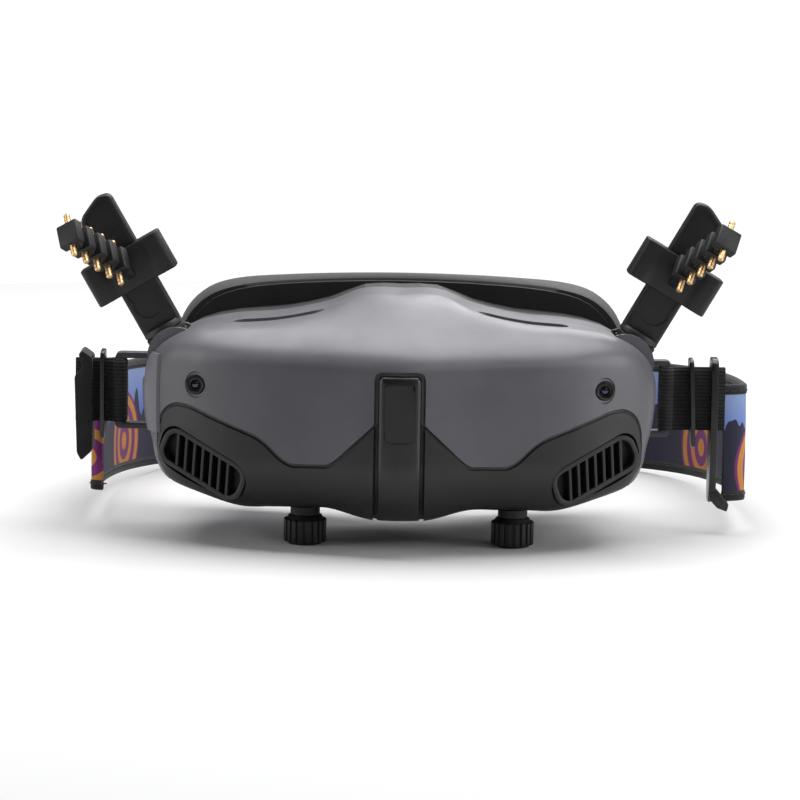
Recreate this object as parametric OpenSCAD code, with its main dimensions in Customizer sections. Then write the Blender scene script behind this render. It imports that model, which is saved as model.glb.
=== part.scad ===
// First person view goggles: a hollow body that faces -Y, a foam face seat at +Y, +Z up.
// The origin is the middle of the face seat's plane, midway between the two eye lenses.

/* [Body] */
// Width of the rigid body across its sides
body_w = 156.4; // [154:0.2:158]
// Depth of the rigid body from the nose to the face plane
body_d = 72; // [71:0.5:74]
// Wall thickness of the shells
wall = 2.2; // [1.8:0.1:2.4]

/* [Optics] */
// Distance of the left eye lens from the middle, at rest
eye_left = 28.4; // [28:0.1:36]
// Distance of the right eye lens from the middle, at rest
eye_right = 34.9; // [28:0.1:36]
// Outer radius of a lens barrel
barrel_r = 18; // [17:0.5:18]
// Diameter of a focus knob
knob_d = 13; // [11:0.5:14]

/* [Antennas] */
// Lean of an antenna out from the vertical, in degrees
lean = 30; // [25:1:34]
// Length of an antenna from its hinge pin to its tip
antenna_len = 54; // [52:1:56]
// Width of an antenna's paddle
paddle_w = 12.4; // [11:0.2:12.8]
// Place of the booster clip along the antenna
clip_at = 30; // [28:1:31]

/* [Headband] */
// Height of the wide band behind the head
band_h = 36; // [30:1:38]
// Height of the elastic straps
elastic_h = 19.6; // [18:0.2:20]

/* [Hidden] */

round_fn = 48;
small_fn = 24;
eps = 0.01;
half_w = body_w / 2;

// Half of the front outline, from the middle of the top to the middle of the chin
outline_half = [
    [0, 31], [12, 30.8], [24, 26.6], [38, 23.8], [54, 22.4], [66, 19.6], [74.5, 14],
    [half_w, 5.6], [half_w - 0.5, -6], [75.8, -14], [74.4, -20], [70.6, -25.7], [60, -29.6],
    [48.5, -32.8], [39, -32.4], [30, -32], [21, -31.8], [10, -34.8], [0, -36]];
outline_steps = 2;

// Split between the rear frame and the front shells
split_y = -12;

// The face foam, from the top middle to the nose notch
foam_outer = [
    [0, 33], [32, 32], [53.5, 29.4], [64.5, 23.8], [70.3, 13.5], [70.3, 0], [66, -13],
    [55, -25], [40.5, -31], [25, -29.8], [15, -22], [7, -14.5], [0, -12]];
foam_inner = [
    [0, 21.5], [30, 21], [46, 19.4], [54.4, 12], [56.6, 2], [54.6, -9], [46, -17.5],
    [37, -21], [27, -20], [17, -13], [8, -6.5], [0, -4.5]];
foam_front = 2.5;
foam_back = 32;
face_curve_r = 130;
face_curve_y = 144;

// Boundary of the black lower fascia, from the nose outwards and down to the chin
fascia_half = [
    [6.4, -3.5], [17.7, -14.6], [20.9, -17.3], [32.5, -17.7], [35.6, -16.1], [42, -10],
    [56.6, -4.7], [64, -1.8], [68.4, -1.6], [71.6, -4], [73.2, -8], [74, -14],
    [73.3, -20], [69.8, -25], [69, -45]];

nose_half = 6.4;
nose_top = 11;
nose_low = -36;
nose_proud = 1.2;
pane_half = 4.5;
pane_top = 8.6;
pane_y = [-72.9, -71.6];

// Air intakes in the top edge, the small cameras and the side buttons
slot_x = [23.5, 51];
slot_y = [-41, -33];
mesh_z = [19.9, 20.6];
mesh_holes = 9;
camera_at = [61.8, 5];
camera_r = 3;
button_y = -25;
back_button_r = 2.9;
link_button_r = 2.4;

// Exhaust ports: middle, turn about Z, slant in the front view
port_at = [58.8, -47.8, -19.6];
port_turn = 26;
port_slant = -25;
port_size = [31, 12.4];
port_corner = 5;
grille_t = 4;
slat_count = 7;
slat_pitch = 3.15;
slat_t = 1.1;

eye_travel = [28, 36.5];
rod_y = -42;
rod_z = 15;
rod_r = 1.5;
carriage_half = 18;
barrel_y = [-33, -3];
neck_top = -33;
knob_top = -35.5;
knob_bottom = -44.5;
knob_y = -42;
shaft_r = 2;
run = 0.05;

fan_at = [59.5, -24, -9];
fan_r = 11;

antenna_pivot = [68.5, -28, 11.6];
antenna_pin_r = 1.5;
notch_r = 8.9;
collar_r = 6.5;
paddle_t = 6;
clip_size = [27, 10, 12.6];
boom_tilt = 38.5;
boom_turn = [18.5, 11.2];
spine_half = 3;
spine_from = 3.1;
rod_count = 5;
rod_pitch = 6;

band_t = 2;
band_left = 97;
band_right = 109;
band_back = 128;
band_front = -1;
band_tilt = 4;
band_floor = -44.3;
right_end_r = 9;
left_end_r = 4.5;

bracket_in = 74.6;
bracket_z = [-14, 10];
bracket_y = [-16, -12];
bar_w = 2.6;
elastic_z = -2;
elastic_t = 3;
jack_x = -48;
power_x = 36;
usb_x = 49;
port_y = -7.2;
port_mouth = -32.2;

// ---- curves and surfaces ----

function spline(p, q, r, s, t) = 0.5 * (2 * q + (r - p) * t
    + (2 * p - 5 * q + 4 * r - s) * t * t + (3 * q - p - 3 * r + s) * t * t * t);

function mirrored(half) = concat(half,
    [for (i = [len(half) - 2 : -1 : 1]) [-half[i][0], half[i][1]]]);

function smooth_loop(pts, steps) = let (n = len(pts)) [
    for (i = [0 : n - 1], k = [0 : steps - 1])
        spline(pts[(i + n - 1) % n], pts[i], pts[(i + 1) % n], pts[(i + 2) % n], k / steps)];

outline = smooth_loop(mirrored(outline_half), outline_steps);

function above(v, limit) = max(0, v - limit);

// Depth of the front face at a point of the front view
function front_y(x, z) = 8 - body_d - 8 * exp(-pow(x / 20, 2))
    + 26 * pow(abs(x) / 78, 3.2) + 0.10 * pow(above(z, 12), 2) + 0.035 * pow(above(-z, 16), 2);

front_rings = [0.3, 0.55, 0.75, 0.88, 0.96];
side_rings = [0, 0.4, 0.75, 1];
side_taper = 0.065;

// One ring of the body, set in from its surface by a wall of t
function front_ring(f, t) = [for (p = outline) let (x = p[0] * f, z = p[1] * f)
    [x * (1 - t / 76), front_y(x, z) + t, z * (1 - t / 30)]];
function side_ring(s, t) = [for (p = outline) let (k = 1 - side_taper * pow(s, 1.5))
    [p[0] * k * (1 - t / 76), (front_y(p[0], p[1]) + t) * (1 - s) + above(t, 0) * s,
     p[1] * (1 - t / 30)]];

// The closed body form, with its walls moved in by t
module body_form(t) {
    rings = concat([for (f = front_rings) front_ring(f, t)],
                   [for (s = side_rings) side_ring(s, t)]);
    n = len(outline);
    m = len(rings);
    points = concat([for (r = rings) each r],
                    [[0, front_y(0, 0) + t, 0], [0, above(t, 0), 0]]);
    polyhedron(points, concat(
        [for (i = [0 : n - 1]) [m * n, i, (i + 1) % n]],
        [for (j = [0 : m - 2], i = [0 : n - 1]) each
            [[j * n + i, (j + 1) * n + i, (j + 1) * n + (i + 1) % n],
             [j * n + i, (j + 1) * n + (i + 1) % n, j * n + (i + 1) % n]]],
        [for (i = [0 : n - 1]) [m * n + 1, (m - 1) * n + (i + 1) % n, (m - 1) * n + i]]));
}

// A prism along Y from y0 to y1 over an outline given in X and Z
module prism_y(pts, y0, y1) {
    translate([0, y1, 0]) rotate([90, 0, 0]) linear_extrude(y1 - y0) polygon(pts);
}

module box(low, high) {
    translate(low) cube(high - low);
}

module tube_y(r, y0, y1, fn = round_fn) {
    translate([0, y1, 0]) rotate([90, 0, 0]) cylinder(r = r, h = y1 - y0, $fn = fn);
}

module tube_x(r, x0, x1, fn = round_fn) {
    translate([x0, 0, 0]) rotate([0, 90, 0]) cylinder(r = r, h = x1 - x0, $fn = fn);
}

module both_sides() {
    children();
    mirror([1, 0, 0]) children();
}

module on_side(side) {
    if (side > 0) children();
    else mirror([1, 0, 0]) children();
}

// ---- housing ----

module fascia_prism() {
    prism_y(concat(fascia_half, [for (i = [len(fascia_half) - 1 : -1 : 0])
        [-fascia_half[i][0], fascia_half[i][1]]]), -90, 10);
}

module nose_prism(gap = 0) {
    box([-nose_half - gap, -90, -45], [nose_half + gap, -55, nose_top + gap]);
}

module port_frame(side) {
    on_side(side) translate(port_at) rotate([0, 0, port_turn]) rotate([0, port_slant, 0])
        children();
}

module port_block(depth, grow = 0) {
    rotate([90, 0, 0]) linear_extrude(depth, center = true)
        offset(r = port_corner + grow, $fn = small_fn)
            square([for (v = port_size) v - 2 * port_corner], center = true);
}

module notch(side) {
    on_side(side) translate(antenna_pivot) tube_y(notch_r, -8.4, 8.4);
}

module bracket_flat() {
    both_sides() box([bracket_in, -17, bracket_z[0] - 0.5], [90, -11, bracket_z[1] + 0.5]);
}

module front_shell() {
    color("#6c6b70") difference() {
        body_form(0);
        body_form(wall);
        fascia_prism();
        nose_prism();
        box([-90, split_y, -60], [90, 20, 60]);
        for (side = [-1, 1]) notch(side);
        bracket_flat();
        both_sides() box([slot_x[0], slot_y[0], 15], [slot_x[1], slot_y[1], 40]);
        both_sides() translate([camera_at[0], 0, camera_at[1]])
            tube_y(camera_r + 0.05, -60, -40, small_fn);
        translate([0, button_y, 0]) tube_x(back_button_r + 0.3, -85, -65, small_fn);
        translate([0, button_y, 0]) tube_x(link_button_r + 0.3, 65, 85, small_fn);
    }
}

module lower_fascia() {
    color("#2a2a2c") difference() {
        intersection() {
            body_form(0);
            fascia_prism();
        }
        body_form(wall);
        nose_prism();
        box([-90, split_y, -60], [90, 20, 60]);
        for (side = [-1, 1]) port_frame(side) port_block(26);
        both_sides() box([eye_travel[0] - 2.6, knob_y - 2.6, -40],
                         [eye_travel[1] + 2.6, knob_y + 2.6, -20]);
    }
}

module nose_bezel() {
    color("#252527") difference() {
        intersection() {
            body_form(-nose_proud);
            nose_prism(-0.05);
            box([-20, -80, nose_low], [20, -52, 20]);
        }
        body_form(wall + 0.6);
        box([-pane_half - 0.05, -90, -pane_top - 0.05],
            [pane_half + 0.05, pane_y[1], pane_top + 0.05]);
    }
}

module nose_window() {
    color("#0b0b0d") box([-pane_half, pane_y[0], -pane_top], [pane_half, pane_y[1], pane_top]);
}

module camera(side) {
    on_side(side) translate([camera_at[0], 0, camera_at[1]]) {
        color("#1a1a1c") tube_y(camera_r, -51.6, -43, small_fn);
        color("#0d1117") tube_y(1.9, -52, -51.6 + eps, small_fn);
    }
}

module intake_mesh(side) {
    color("#2b2b2d") on_side(side) difference() {
        box([slot_x[0] - 1, slot_y[0] - 1, mesh_z[0]], [slot_x[1] + 1, slot_y[1] + 1, mesh_z[1]]);
        for (i = [0 : mesh_holes - 1]) translate([slot_x[0] + 0.9 + 3 * i, 0, 0])
            box([0, slot_y[0] + 0.4, mesh_z[0] - 1], [1.4, slot_y[1] - 0.4, mesh_z[1] + 1]);
    }
}

module exhaust_grille(side) {
    color("#1d1d1f") port_frame(side) difference() {
        port_block(grille_t, -0.1);
        difference() {
            port_block(grille_t + 2, -1.8);
            for (i = [0 : slat_count - 1])
                translate([(i - (slat_count - 1) / 2) * slat_pitch, 0, 0])
                    rotate([0, -port_slant, 0]) cube([slat_t, grille_t + 4, 30], center = true);
        }
    }
}

module touch_panel() {
    color("#8f8f95") difference() {
        intersection() {
            body_form(-0.8);
            union() {
                box([-90, -43, -11], [-60, -31, 4.5]);
                box([-90, -43, 4], [-60, -37.2, 13]);
            }
        }
        body_form(0);
    }
}

module rear_frame() {
    color("#3a3a3d") difference() {
        intersection() {
            body_form(0);
            box([-90, split_y, -60], [90, 20, 60]);
        }
        intersection() {
            body_form(wall);
            box([-90, split_y - 5, -60], [90, -3, 60]);
        }
        bracket_flat();
        both_sides() {
            for (x = eye_travel) translate([x, 0, 0]) tube_y(barrel_r + 0.8, -10, 5);
            box([eye_travel[0], -10, -barrel_r - 0.8], [eye_travel[1], 5, barrel_r + 0.8]);
        }
        translate([jack_x, port_y, -40]) cylinder(r = 3.03, h = 30, $fn = round_fn);
        translate([power_x, port_y, -40]) cylinder(r = 3.63, h = 20, $fn = round_fn);
        box([usb_x - 5.2, port_y - 2, -40], [usb_x + 5.2, port_y + 2, -20]);
        screws(0.02);
    }
}

// ---- face seat ----

module ring_plate(y0, y1, grow) {
    outer = smooth_loop(mirrored(foam_outer), 3);
    inner = smooth_loop(mirrored(foam_inner), 3);
    difference() {
        prism_y([for (p = outer) p * (1 + grow / 50)], y0, y1);
        prism_y(inner, y0 - 1, y1 + 1);
    }
}

module foam_frame() {
    color("#1f1f21") ring_plate(0, foam_front, -2);
}

module face_foam() {
    color("#333335") difference() {
        ring_plate(foam_front, foam_back, 0);
        translate([0, face_curve_y, -60]) cylinder(r = face_curve_r, h = 120, $fn = 120);
    }
}

// ---- inside the housing ----

module main_board() {
    color("#1f4d36") box([-38, -55, -12], [38, -53.6, 12]);
}

module heat_sink() {
    color("#b9bcc0") {
        box([-20, -57, -9], [20, -55, 9]);
        for (i = [0 : 9]) box([-20 + i * 4.3, -61, -9], [-18.7 + i * 4.3, -57, 9]);
    }
}

module guide_rods() {
    color("#c8cacd") for (z = [-rod_z, rod_z]) translate([0, rod_y, z])
        tube_x(rod_r, -59.6, 59.6, small_fn);
}

module rod_mounts() {
    color("#3b3b3e") difference() {
        union() {
            both_sides() for (z = [-rod_z, rod_z])
                box([56.6, rod_y - 2.6, z - 2.6], [59.2, rod_y + 2.6, z + 2.6]);
            box([-3, rod_y - 3, -18], [3, rod_y + 3, 18]);
        }
        for (z = [-rod_z, rod_z]) translate([0, rod_y, z]) tube_x(rod_r, -70, 70, small_fn);
    }
}

module fan_housing(side) {
    color("#242426") on_side(side) translate(fan_at) difference() {
        tube_x(fan_r, 0, 7);
        tube_x(fan_r - 1, 0.8, 8);
        translate([0, -fan_r - 1, -3]) cube([8, 4, 8]);
    }
    color("#c8cacd") on_side(side) translate(fan_at) tube_x(0.75, 0.8, 6, small_fn);
}

module impeller(side) {
    color("#3c3c40") on_side(side) translate(fan_at) difference() {
        union() {
            tube_x(3, 1.2, 5.8, small_fn);
            for (i = [0 : 8]) rotate([i * 40, 0, 0]) box([1.6, -0.4, 2], [5.8, 0.4, 8.8]);
        }
        tube_x(0.75 + run, 0, 8, small_fn);
    }
}

function eye_x(side) = side < 0 ? -eye_left : eye_right;

module optic_carriage(side) {
    color("#38383b") translate([eye_x(side), 0, 0]) difference() {
        union() {
            box([-carriage_half, -46, -carriage_half], [carriage_half, -38, carriage_half]);
            tube_y(barrel_r + 1.6, -38 - eps, -24);
        }
        tube_y(barrel_r + run + 0.01, -38, -20);
        tube_y(12, -50, -30);
        for (z = [-rod_z, rod_z]) translate([0, rod_y, z]) tube_x(rod_r + run, -30, 30, small_fn);
        translate([0, knob_y, -carriage_half - 1]) cylinder(r = shaft_r + run, h = 2.6, $fn = small_fn);
        box([2.2, -38.5, -25], [5.4, -20, -15]);
    }
}

module display(side) {
    color("#101418") translate([eye_x(side), 0, 0]) box([-13, -49, -13], [13, -46, 13]);
}

module lens_barrel(side) {
    color("#202022") translate([eye_x(side), 0, 0]) {
        difference() {
            tube_y(barrel_r, barrel_y[0], barrel_y[1]);
            tube_y(barrel_r - 1.6, barrel_y[0] + 2, barrel_y[1] + 1);
            tube_y(14, barrel_y[0] - 1, barrel_y[1]);
        }
        box([2.6, -33, -19.6], [5, -30, -barrel_r + 0.6]);
        box([2.6, -46, -23], [5, -30, -19.6 + eps]);
    }
}

module eye_lens(side) {
    color("#9fb4c8") translate([eye_x(side), 0, 0]) difference() {
        tube_y(barrel_r - 1.65, -12, -5);
        translate([0, 36, 0]) sphere(r = 42, $fn = 64);
    }
}

module focus_knob(side) {
    color("#2c2c2e") translate([eye_x(side), knob_y, 0]) {
        translate([0, 0, neck_top - eps]) cylinder(r = shaft_r, h = 16.4, $fn = small_fn);
        translate([0, 0, -23]) cylinder(r = 2.3, h = 3.4, $fn = small_fn);
        translate([0, 0, knob_top]) cylinder(r = 4.5, h = neck_top - knob_top, $fn = round_fn);
        difference() {
            rotate_extrude($fn = round_fn) polygon([
                [0, knob_bottom], [knob_d / 2 - 1, knob_bottom], [knob_d / 2, knob_bottom + 1],
                [knob_d / 2, knob_top - 1.4], [knob_d / 2 - 1.4, knob_top], [0, knob_top]]);
            for (i = [0 : 17]) rotate([0, 0, i * 20])
                translate([knob_d / 2 + 0.25, 0, knob_bottom - 1])
                    cylinder(r = 0.6, h = 8.4, $fn = 13);
        }
    }
}

// ---- ports and buttons ----

module headphone_jack() {
    color("#18181a") translate([jack_x, port_y, port_mouth]) difference() {
        cylinder(r = 3, h = 12, $fn = round_fn);
        translate([0, 0, -1]) cylinder(r = 1.8, h = 11, $fn = round_fn);
    }
}

module usb_port() {
    color("#a9abae") difference() {
        box([usb_x - 5.2, port_y - 2, port_mouth], [usb_x + 5.2, port_y + 2, port_mouth + 8]);
        box([usb_x - 4.5, port_y - 1.6, port_mouth - 1],
            [usb_x + 4.5, port_y + 1.6, port_mouth + 6.8]);
    }
}

module power_socket() {
    translate([power_x, port_y, port_mouth]) {
        color("#18181a") difference() {
            cylinder(r = 3.6, h = 9, $fn = round_fn);
            translate([0, 0, -1]) cylinder(r = 2.75, h = 8, $fn = round_fn);
        }
        color("#c9a24a") translate([0, 0, 1.4]) cylinder(r = 0.9, h = 6, $fn = small_fn);
    }
}

module proximity_sensor() {
    color("#101012") box([-4, 0, 2], [4, 1.4, 8]);
}

module back_button() {
    color("#9a9aa0") translate([0, button_y, 0]) tube_x(back_button_r, -78.2, -73, small_fn);
}

module link_button() {
    color("#8f8f95") translate([0, button_y, 0]) tube_x(link_button_r, 73, 78, small_fn);
}

module screws(gap) {
    both_sides() for (z = [-16, 16]) translate([62 - z * 0.15, 0, z]) {
        tube_y(1.0 + gap, -9, 0, small_fn);
        tube_y(1.9 + gap, -1, gap, small_fn);
    }
}

module housing_screws() {
    color("#6f7276") screws(0);
}

// ---- antennas ----

// The antenna's own frame: hinge pin at the origin, +Z along it, +X out from the body
module antenna_frame(side, extra = 0) {
    on_side(side) translate(antenna_pivot) rotate([0, lean + extra, 0]) children();
}

module antenna_socket(side) {
    color("#57575b") antenna_frame(side, 12.5) difference() {
        tube_y(notch_r - 0.1, -8.3, 8.3);
        tube_y(6.3, -6.9, 6.9);
        box([-20, -6.9, -2], [20, 6.9, 20]);
        tube_y(antenna_pin_r + 0.02, -10, 10, small_fn);
    }
}

module hinge_pin(side) {
    color("#c8cacd") antenna_frame(side) tube_y(antenna_pin_r, -8.3, 8.3, small_fn);
}

module paddle_outline() {
    w = paddle_w / 2;
    offset(r = 3, $fn = small_fn) offset(delta = -3)
        polygon([[-w, 7], [w, 7], [w, antenna_len - 4], [-w * 0.35, antenna_len],
                 [-w, antenna_len - 1]]);
}

module antenna(side) {
    color("#232325") antenna_frame(side) difference() {
        union() {
            tube_y(6, -6.6, 6.6);
            translate([0, 0, 3]) cylinder(r = collar_r, h = 7, $fn = round_fn);
            translate([0, paddle_t / 2, 0]) rotate([90, 0, 0]) linear_extrude(paddle_t)
                paddle_outline();
        }
        tube_y(antenna_pin_r + run, -10, 10, small_fn);
    }
}

module clip(side) {
    color("#1c1c1e") antenna_frame(side) translate([0, 0, clip_at - clip_size[2] / 2])
        linear_extrude(clip_size[2]) difference() {
            offset(r = 3, $fn = small_fn)
                square([clip_size[0] - 6, clip_size[1] - 6], center = true);
            square([paddle_w + 0.6, paddle_t + 0.6], center = true);
        }
}

// The boom's own frame: it leaves the clip's front face along -Y
module boom_frame(side) {
    antenna_frame(side) translate([0, -clip_size[1] / 2, clip_at])
        rotate([0, 0, boom_turn[side < 0 ? 0 : 1]]) children();
}

// A wedge from the clip's face to the start of the tilted spine
module boom_foot() {
    c = cos(boom_tilt);
    s = sin(boom_tilt);
    translate([-1.2, 0, 0]) rotate([90, 0, 90]) linear_extrude(2.4) polygon([
        [-0.42, -3], [-0.42, 4.2], [-spine_from * c + spine_half * s - 0.3,
        spine_from * s + spine_half * c], [-spine_from * c - spine_half * s,
        spine_from * s - spine_half * c]]);
}

module boom(side) {
    color("#1f1f21") boom_frame(side) boom_foot();
    color("#1f1f21") boom_frame(side) rotate([-boom_tilt, 0, 0]) difference() {
        union() {
            box([-1.2, -30.6, -spine_half], [1.2, -spine_from, spine_half]);
            for (i = [1 : rod_count])
                box([-3.6, -i * rod_pitch - 1.7, -3.8], [3.6, -i * rod_pitch + 1.7, 3.8]);
        }
        for (i = [1 : rod_count]) translate([0, -i * rod_pitch, -10])
            cylinder(r = 0.95, h = 20, $fn = small_fn);
    }
}

module director_rods(side) {
    color("#d9a75a") boom_frame(side) rotate([-boom_tilt, 0, 0]) for (i = [1 : rod_count])
        translate([0, -i * rod_pitch, -8 + i * 0.15]) cylinder(r = 0.95, h = 16 - i * 0.3,
                                                            $fn = small_fn);
}

// ---- headband ----

// Half of the band seen from above: a quarter turn at its end, then half an oval
function band_half(reach, end_r, inset) = concat(
    [for (a = [-80 : 20 : -1]) [reach - end_r + (end_r - inset) * cos(a),
                                band_front + (end_r - inset) * sin(a)]],
    [for (a = [0 : 6 : 89]) [(reach - inset) * pow(cos(a), 0.55),
        band_front + (band_back - band_front - inset) * pow(sin(a), 0.72)]],
    [[0, band_back - inset]]);

function band_loop(inset) = let (right = band_half(band_right, right_end_r, inset),
                                 left = band_half(band_left, left_end_r, inset)) concat(right,
    [for (i = [len(left) - 2 : -1 : 0]) [-left[i][0], left[i][1]]]);

module rear_band() {
    outer = band_loop(0);
    inner = band_loop(band_t);
    color("#3b5fc0") translate([0, band_front, band_floor + 9]) rotate([-band_tilt, 0, 0])
        translate([0, -band_front, 0]) linear_extrude(band_h)
            polygon(concat(outer, [for (i = [len(inner) - 1 : -1 : 0]) inner[i]]));
}

// Outer edges of the brackets, and the places of the sliders and buckles along the elastics
function bracket_out(side) = side < 0 ? 88.5 : 84;
function slider_x(side) = side < 0 ? 91.6 : 90;
function buckle_x(side) = side < 0 ? 95.5 : 96.5;
function buckle_t(side) = side < 0 ? 5.5 : 2.2;
function strap_end(side) = buckle_x(side) + buckle_t(side) + (side < 0 ? 0 : 2.4);

module strap_bracket(side) {
    out = bracket_out(side);
    color("#47474b") on_side(side) difference() {
        box([bracket_in, bracket_y[0], bracket_z[0]], [out, bracket_y[1], bracket_z[1]]);
        box([77.2, -20, bracket_z[0] + 2], [out - bar_w, -8, bracket_z[1] - 2]);
    }
}

module elastic(side) {
    out = bracket_out(side);
    mid = (bracket_y[0] + bracket_y[1]) / 2;
    low = elastic_z - elastic_h / 2;
    color("#1f1f1f") on_side(side) difference() {
        union() {
            box([out - bar_w - 1.3, mid - 3.6, low], [out + 1.4, mid + 3.6, low + elastic_h]);
            box([out, mid - elastic_t / 2, low],
                [strap_end(side), mid + elastic_t / 2, low + elastic_h]);
            if (side > 0) box([strap_end(side) - 1.8, mid, low],
                              [strap_end(side), mid + 5.8, low + elastic_h]);
        }
        box([out - bar_w, bracket_y[0], -20], [out, bracket_y[1], 20]);
    }
}

// A plate with a slot that the elastic runs through
module strap_plate(x, t, y0, y1, z0, z1) {
    mid = (bracket_y[0] + bracket_y[1]) / 2;
    low = elastic_z - elastic_h / 2;
    difference() {
        box([x, y0, z0], [x + t, y1, z1]);
        box([x - 1, mid - elastic_t / 2 - 0.3, low - 0.4],
            [x + t + 1, mid + elastic_t / 2 + 0.3, low + elastic_h + 0.4]);
    }
}

module strap_slider(side) {
    color("#26262a") on_side(side) strap_plate(slider_x(side), 1.4, -19, -9, -17, 10.5);
}

module buckle(side) {
    x = buckle_x(side);
    color("#19191b") on_side(side) {
        if (side < 0) strap_plate(x, buckle_t(side), -18, -6, -24, 10.5);
        else {
            strap_plate(x, buckle_t(side), -18, -6, -35, 10.5);
            box([x + buckle_t(side) - eps, -16, -37.5], [x + 6.5, -12, -33]);
        }
    }
}

front_shell();
lower_fascia();
nose_bezel();
nose_window();
camera(-1);  // camera_left
camera(1);  // camera_right
intake_mesh(-1);  // intake_mesh_left
intake_mesh(1);  // intake_mesh_right
exhaust_grille(-1);  // exhaust_grille_left
exhaust_grille(1);  // exhaust_grille_right
touch_panel();
rear_frame();
foam_frame();
face_foam();
main_board();
heat_sink();
guide_rods();
rod_mounts();
fan_housing(-1);  // fan_housing_left
fan_housing(1);  // fan_housing_right
impeller(-1);  // impeller_left
impeller(1);  // impeller_right
optic_carriage(-1);  // optic_carriage_left
optic_carriage(1);  // optic_carriage_right
display(-1);  // display_left
display(1);  // display_right
lens_barrel(-1);  // lens_barrel_left
lens_barrel(1);  // lens_barrel_right
eye_lens(-1);  // eye_lens_left
eye_lens(1);  // eye_lens_right
focus_knob(-1);  // focus_knob_left
focus_knob(1);  // focus_knob_right
headphone_jack();
usb_port();
power_socket();
proximity_sensor();
back_button();
link_button();
housing_screws();
antenna_socket(-1);  // antenna_socket_left
antenna_socket(1);  // antenna_socket_right
hinge_pin(-1);  // hinge_pin_left
hinge_pin(1);  // hinge_pin_right
antenna(-1);  // antenna_left
antenna(1);  // antenna_right
clip(-1);  // clip_left
clip(1);  // clip_right
boom(-1);  // boom_left
boom(1);  // boom_right
director_rods(-1);  // director_rods_left
director_rods(1);  // director_rods_right
strap_bracket(-1);  // strap_bracket_left
strap_bracket(1);  // strap_bracket_right
elastic(-1);  // elastic_left
elastic(1);  // elastic_right
strap_slider(-1);  // strap_slider_left
strap_slider(1);  // strap_slider_right
buckle(-1);  // buckle_left
buckle(1);  // buckle_right
rear_band();
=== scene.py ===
# First person view goggles: the looks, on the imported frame. Shapes are worked out in millimetres.
import bmesh
import bpy
import math
from mathutils import Matrix, Vector


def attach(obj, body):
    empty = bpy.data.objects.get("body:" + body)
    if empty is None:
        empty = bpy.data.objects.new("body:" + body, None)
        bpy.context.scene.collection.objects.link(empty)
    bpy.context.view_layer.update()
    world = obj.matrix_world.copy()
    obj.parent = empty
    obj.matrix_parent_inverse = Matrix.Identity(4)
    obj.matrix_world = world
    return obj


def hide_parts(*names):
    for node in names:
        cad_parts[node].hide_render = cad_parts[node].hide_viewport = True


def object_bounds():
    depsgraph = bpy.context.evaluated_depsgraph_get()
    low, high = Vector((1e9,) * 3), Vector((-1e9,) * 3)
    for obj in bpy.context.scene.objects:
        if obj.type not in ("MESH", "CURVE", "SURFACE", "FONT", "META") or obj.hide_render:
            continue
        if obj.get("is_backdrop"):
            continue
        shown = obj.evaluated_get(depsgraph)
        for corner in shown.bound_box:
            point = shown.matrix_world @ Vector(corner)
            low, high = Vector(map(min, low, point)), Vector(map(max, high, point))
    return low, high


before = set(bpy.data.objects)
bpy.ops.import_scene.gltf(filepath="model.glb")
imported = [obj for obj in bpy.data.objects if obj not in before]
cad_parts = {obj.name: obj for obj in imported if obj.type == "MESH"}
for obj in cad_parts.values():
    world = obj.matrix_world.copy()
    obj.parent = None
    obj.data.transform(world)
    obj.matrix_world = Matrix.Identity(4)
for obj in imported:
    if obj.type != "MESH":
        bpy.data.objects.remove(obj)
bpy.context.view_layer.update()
MM = 0.001
SIDES = {"left": -1, "right": 1}


# ---- camera, floor and light ----

def aim(thing, place, target, roll=0.0):
    thing.location = place
    turn = (Vector(target) - Vector(place)).to_track_quat("-Z", "Y").to_matrix()
    thing.rotation_euler = (turn @ Matrix.Rotation(roll, 3, "Z")).to_euler()


def camera():
    elevation, roll = math.radians(8), math.radians(0.9)
    middle = Vector((0, -0.070, 0.0039))
    distance, across = 1.2, 0.2376
    data = bpy.data.cameras.new("camera")
    data.sensor_width = 36
    data.lens = data.sensor_width * distance / across
    eye = bpy.data.objects.new("camera", data)
    bpy.context.scene.collection.objects.link(eye)
    back = Vector((0, -math.cos(elevation), math.sin(elevation)))
    aim(eye, middle + back * distance, middle, roll)
    bpy.context.scene.camera = eye


def softbox(name, place, target, size, watts):
    data = bpy.data.lights.new(name, "AREA")
    data.shape = "RECTANGLE"
    data.size, data.size_y = size
    data.energy = watts
    lamp = bpy.data.objects.new(name, data)
    bpy.context.scene.collection.objects.link(lamp)
    aim(lamp, place, target)


def add(tree, kind, inputs=None, **settings):
    """A node with its settings, and its inputs given as values or as the sockets that feed them."""
    node = tree.nodes.new(kind)
    for name, value in settings.items():
        setattr(node, name, value)
    for socket, value in (inputs or {}).items():
        if isinstance(value, bpy.types.NodeSocket):
            tree.links.new(value, node.inputs[socket])
        else:
            node.inputs[socket].default_value = value
    return node


def maths(tree, kind, first, second=0.0, third=0.0):
    return add(tree, "ShaderNodeMath", {0: first, 1: second, 2: third}, operation=kind).outputs[0]


def linear(code):
    """sRGB hex to the linear colour that a shader takes."""
    channels = [int(code[i:i + 2], 16) / 255 for i in (1, 3, 5)]
    return tuple(c / 12.92 if c <= 0.04045 else ((c + 0.055) / 1.055) ** 2.4
                 for c in channels) + (1.0,)


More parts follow.
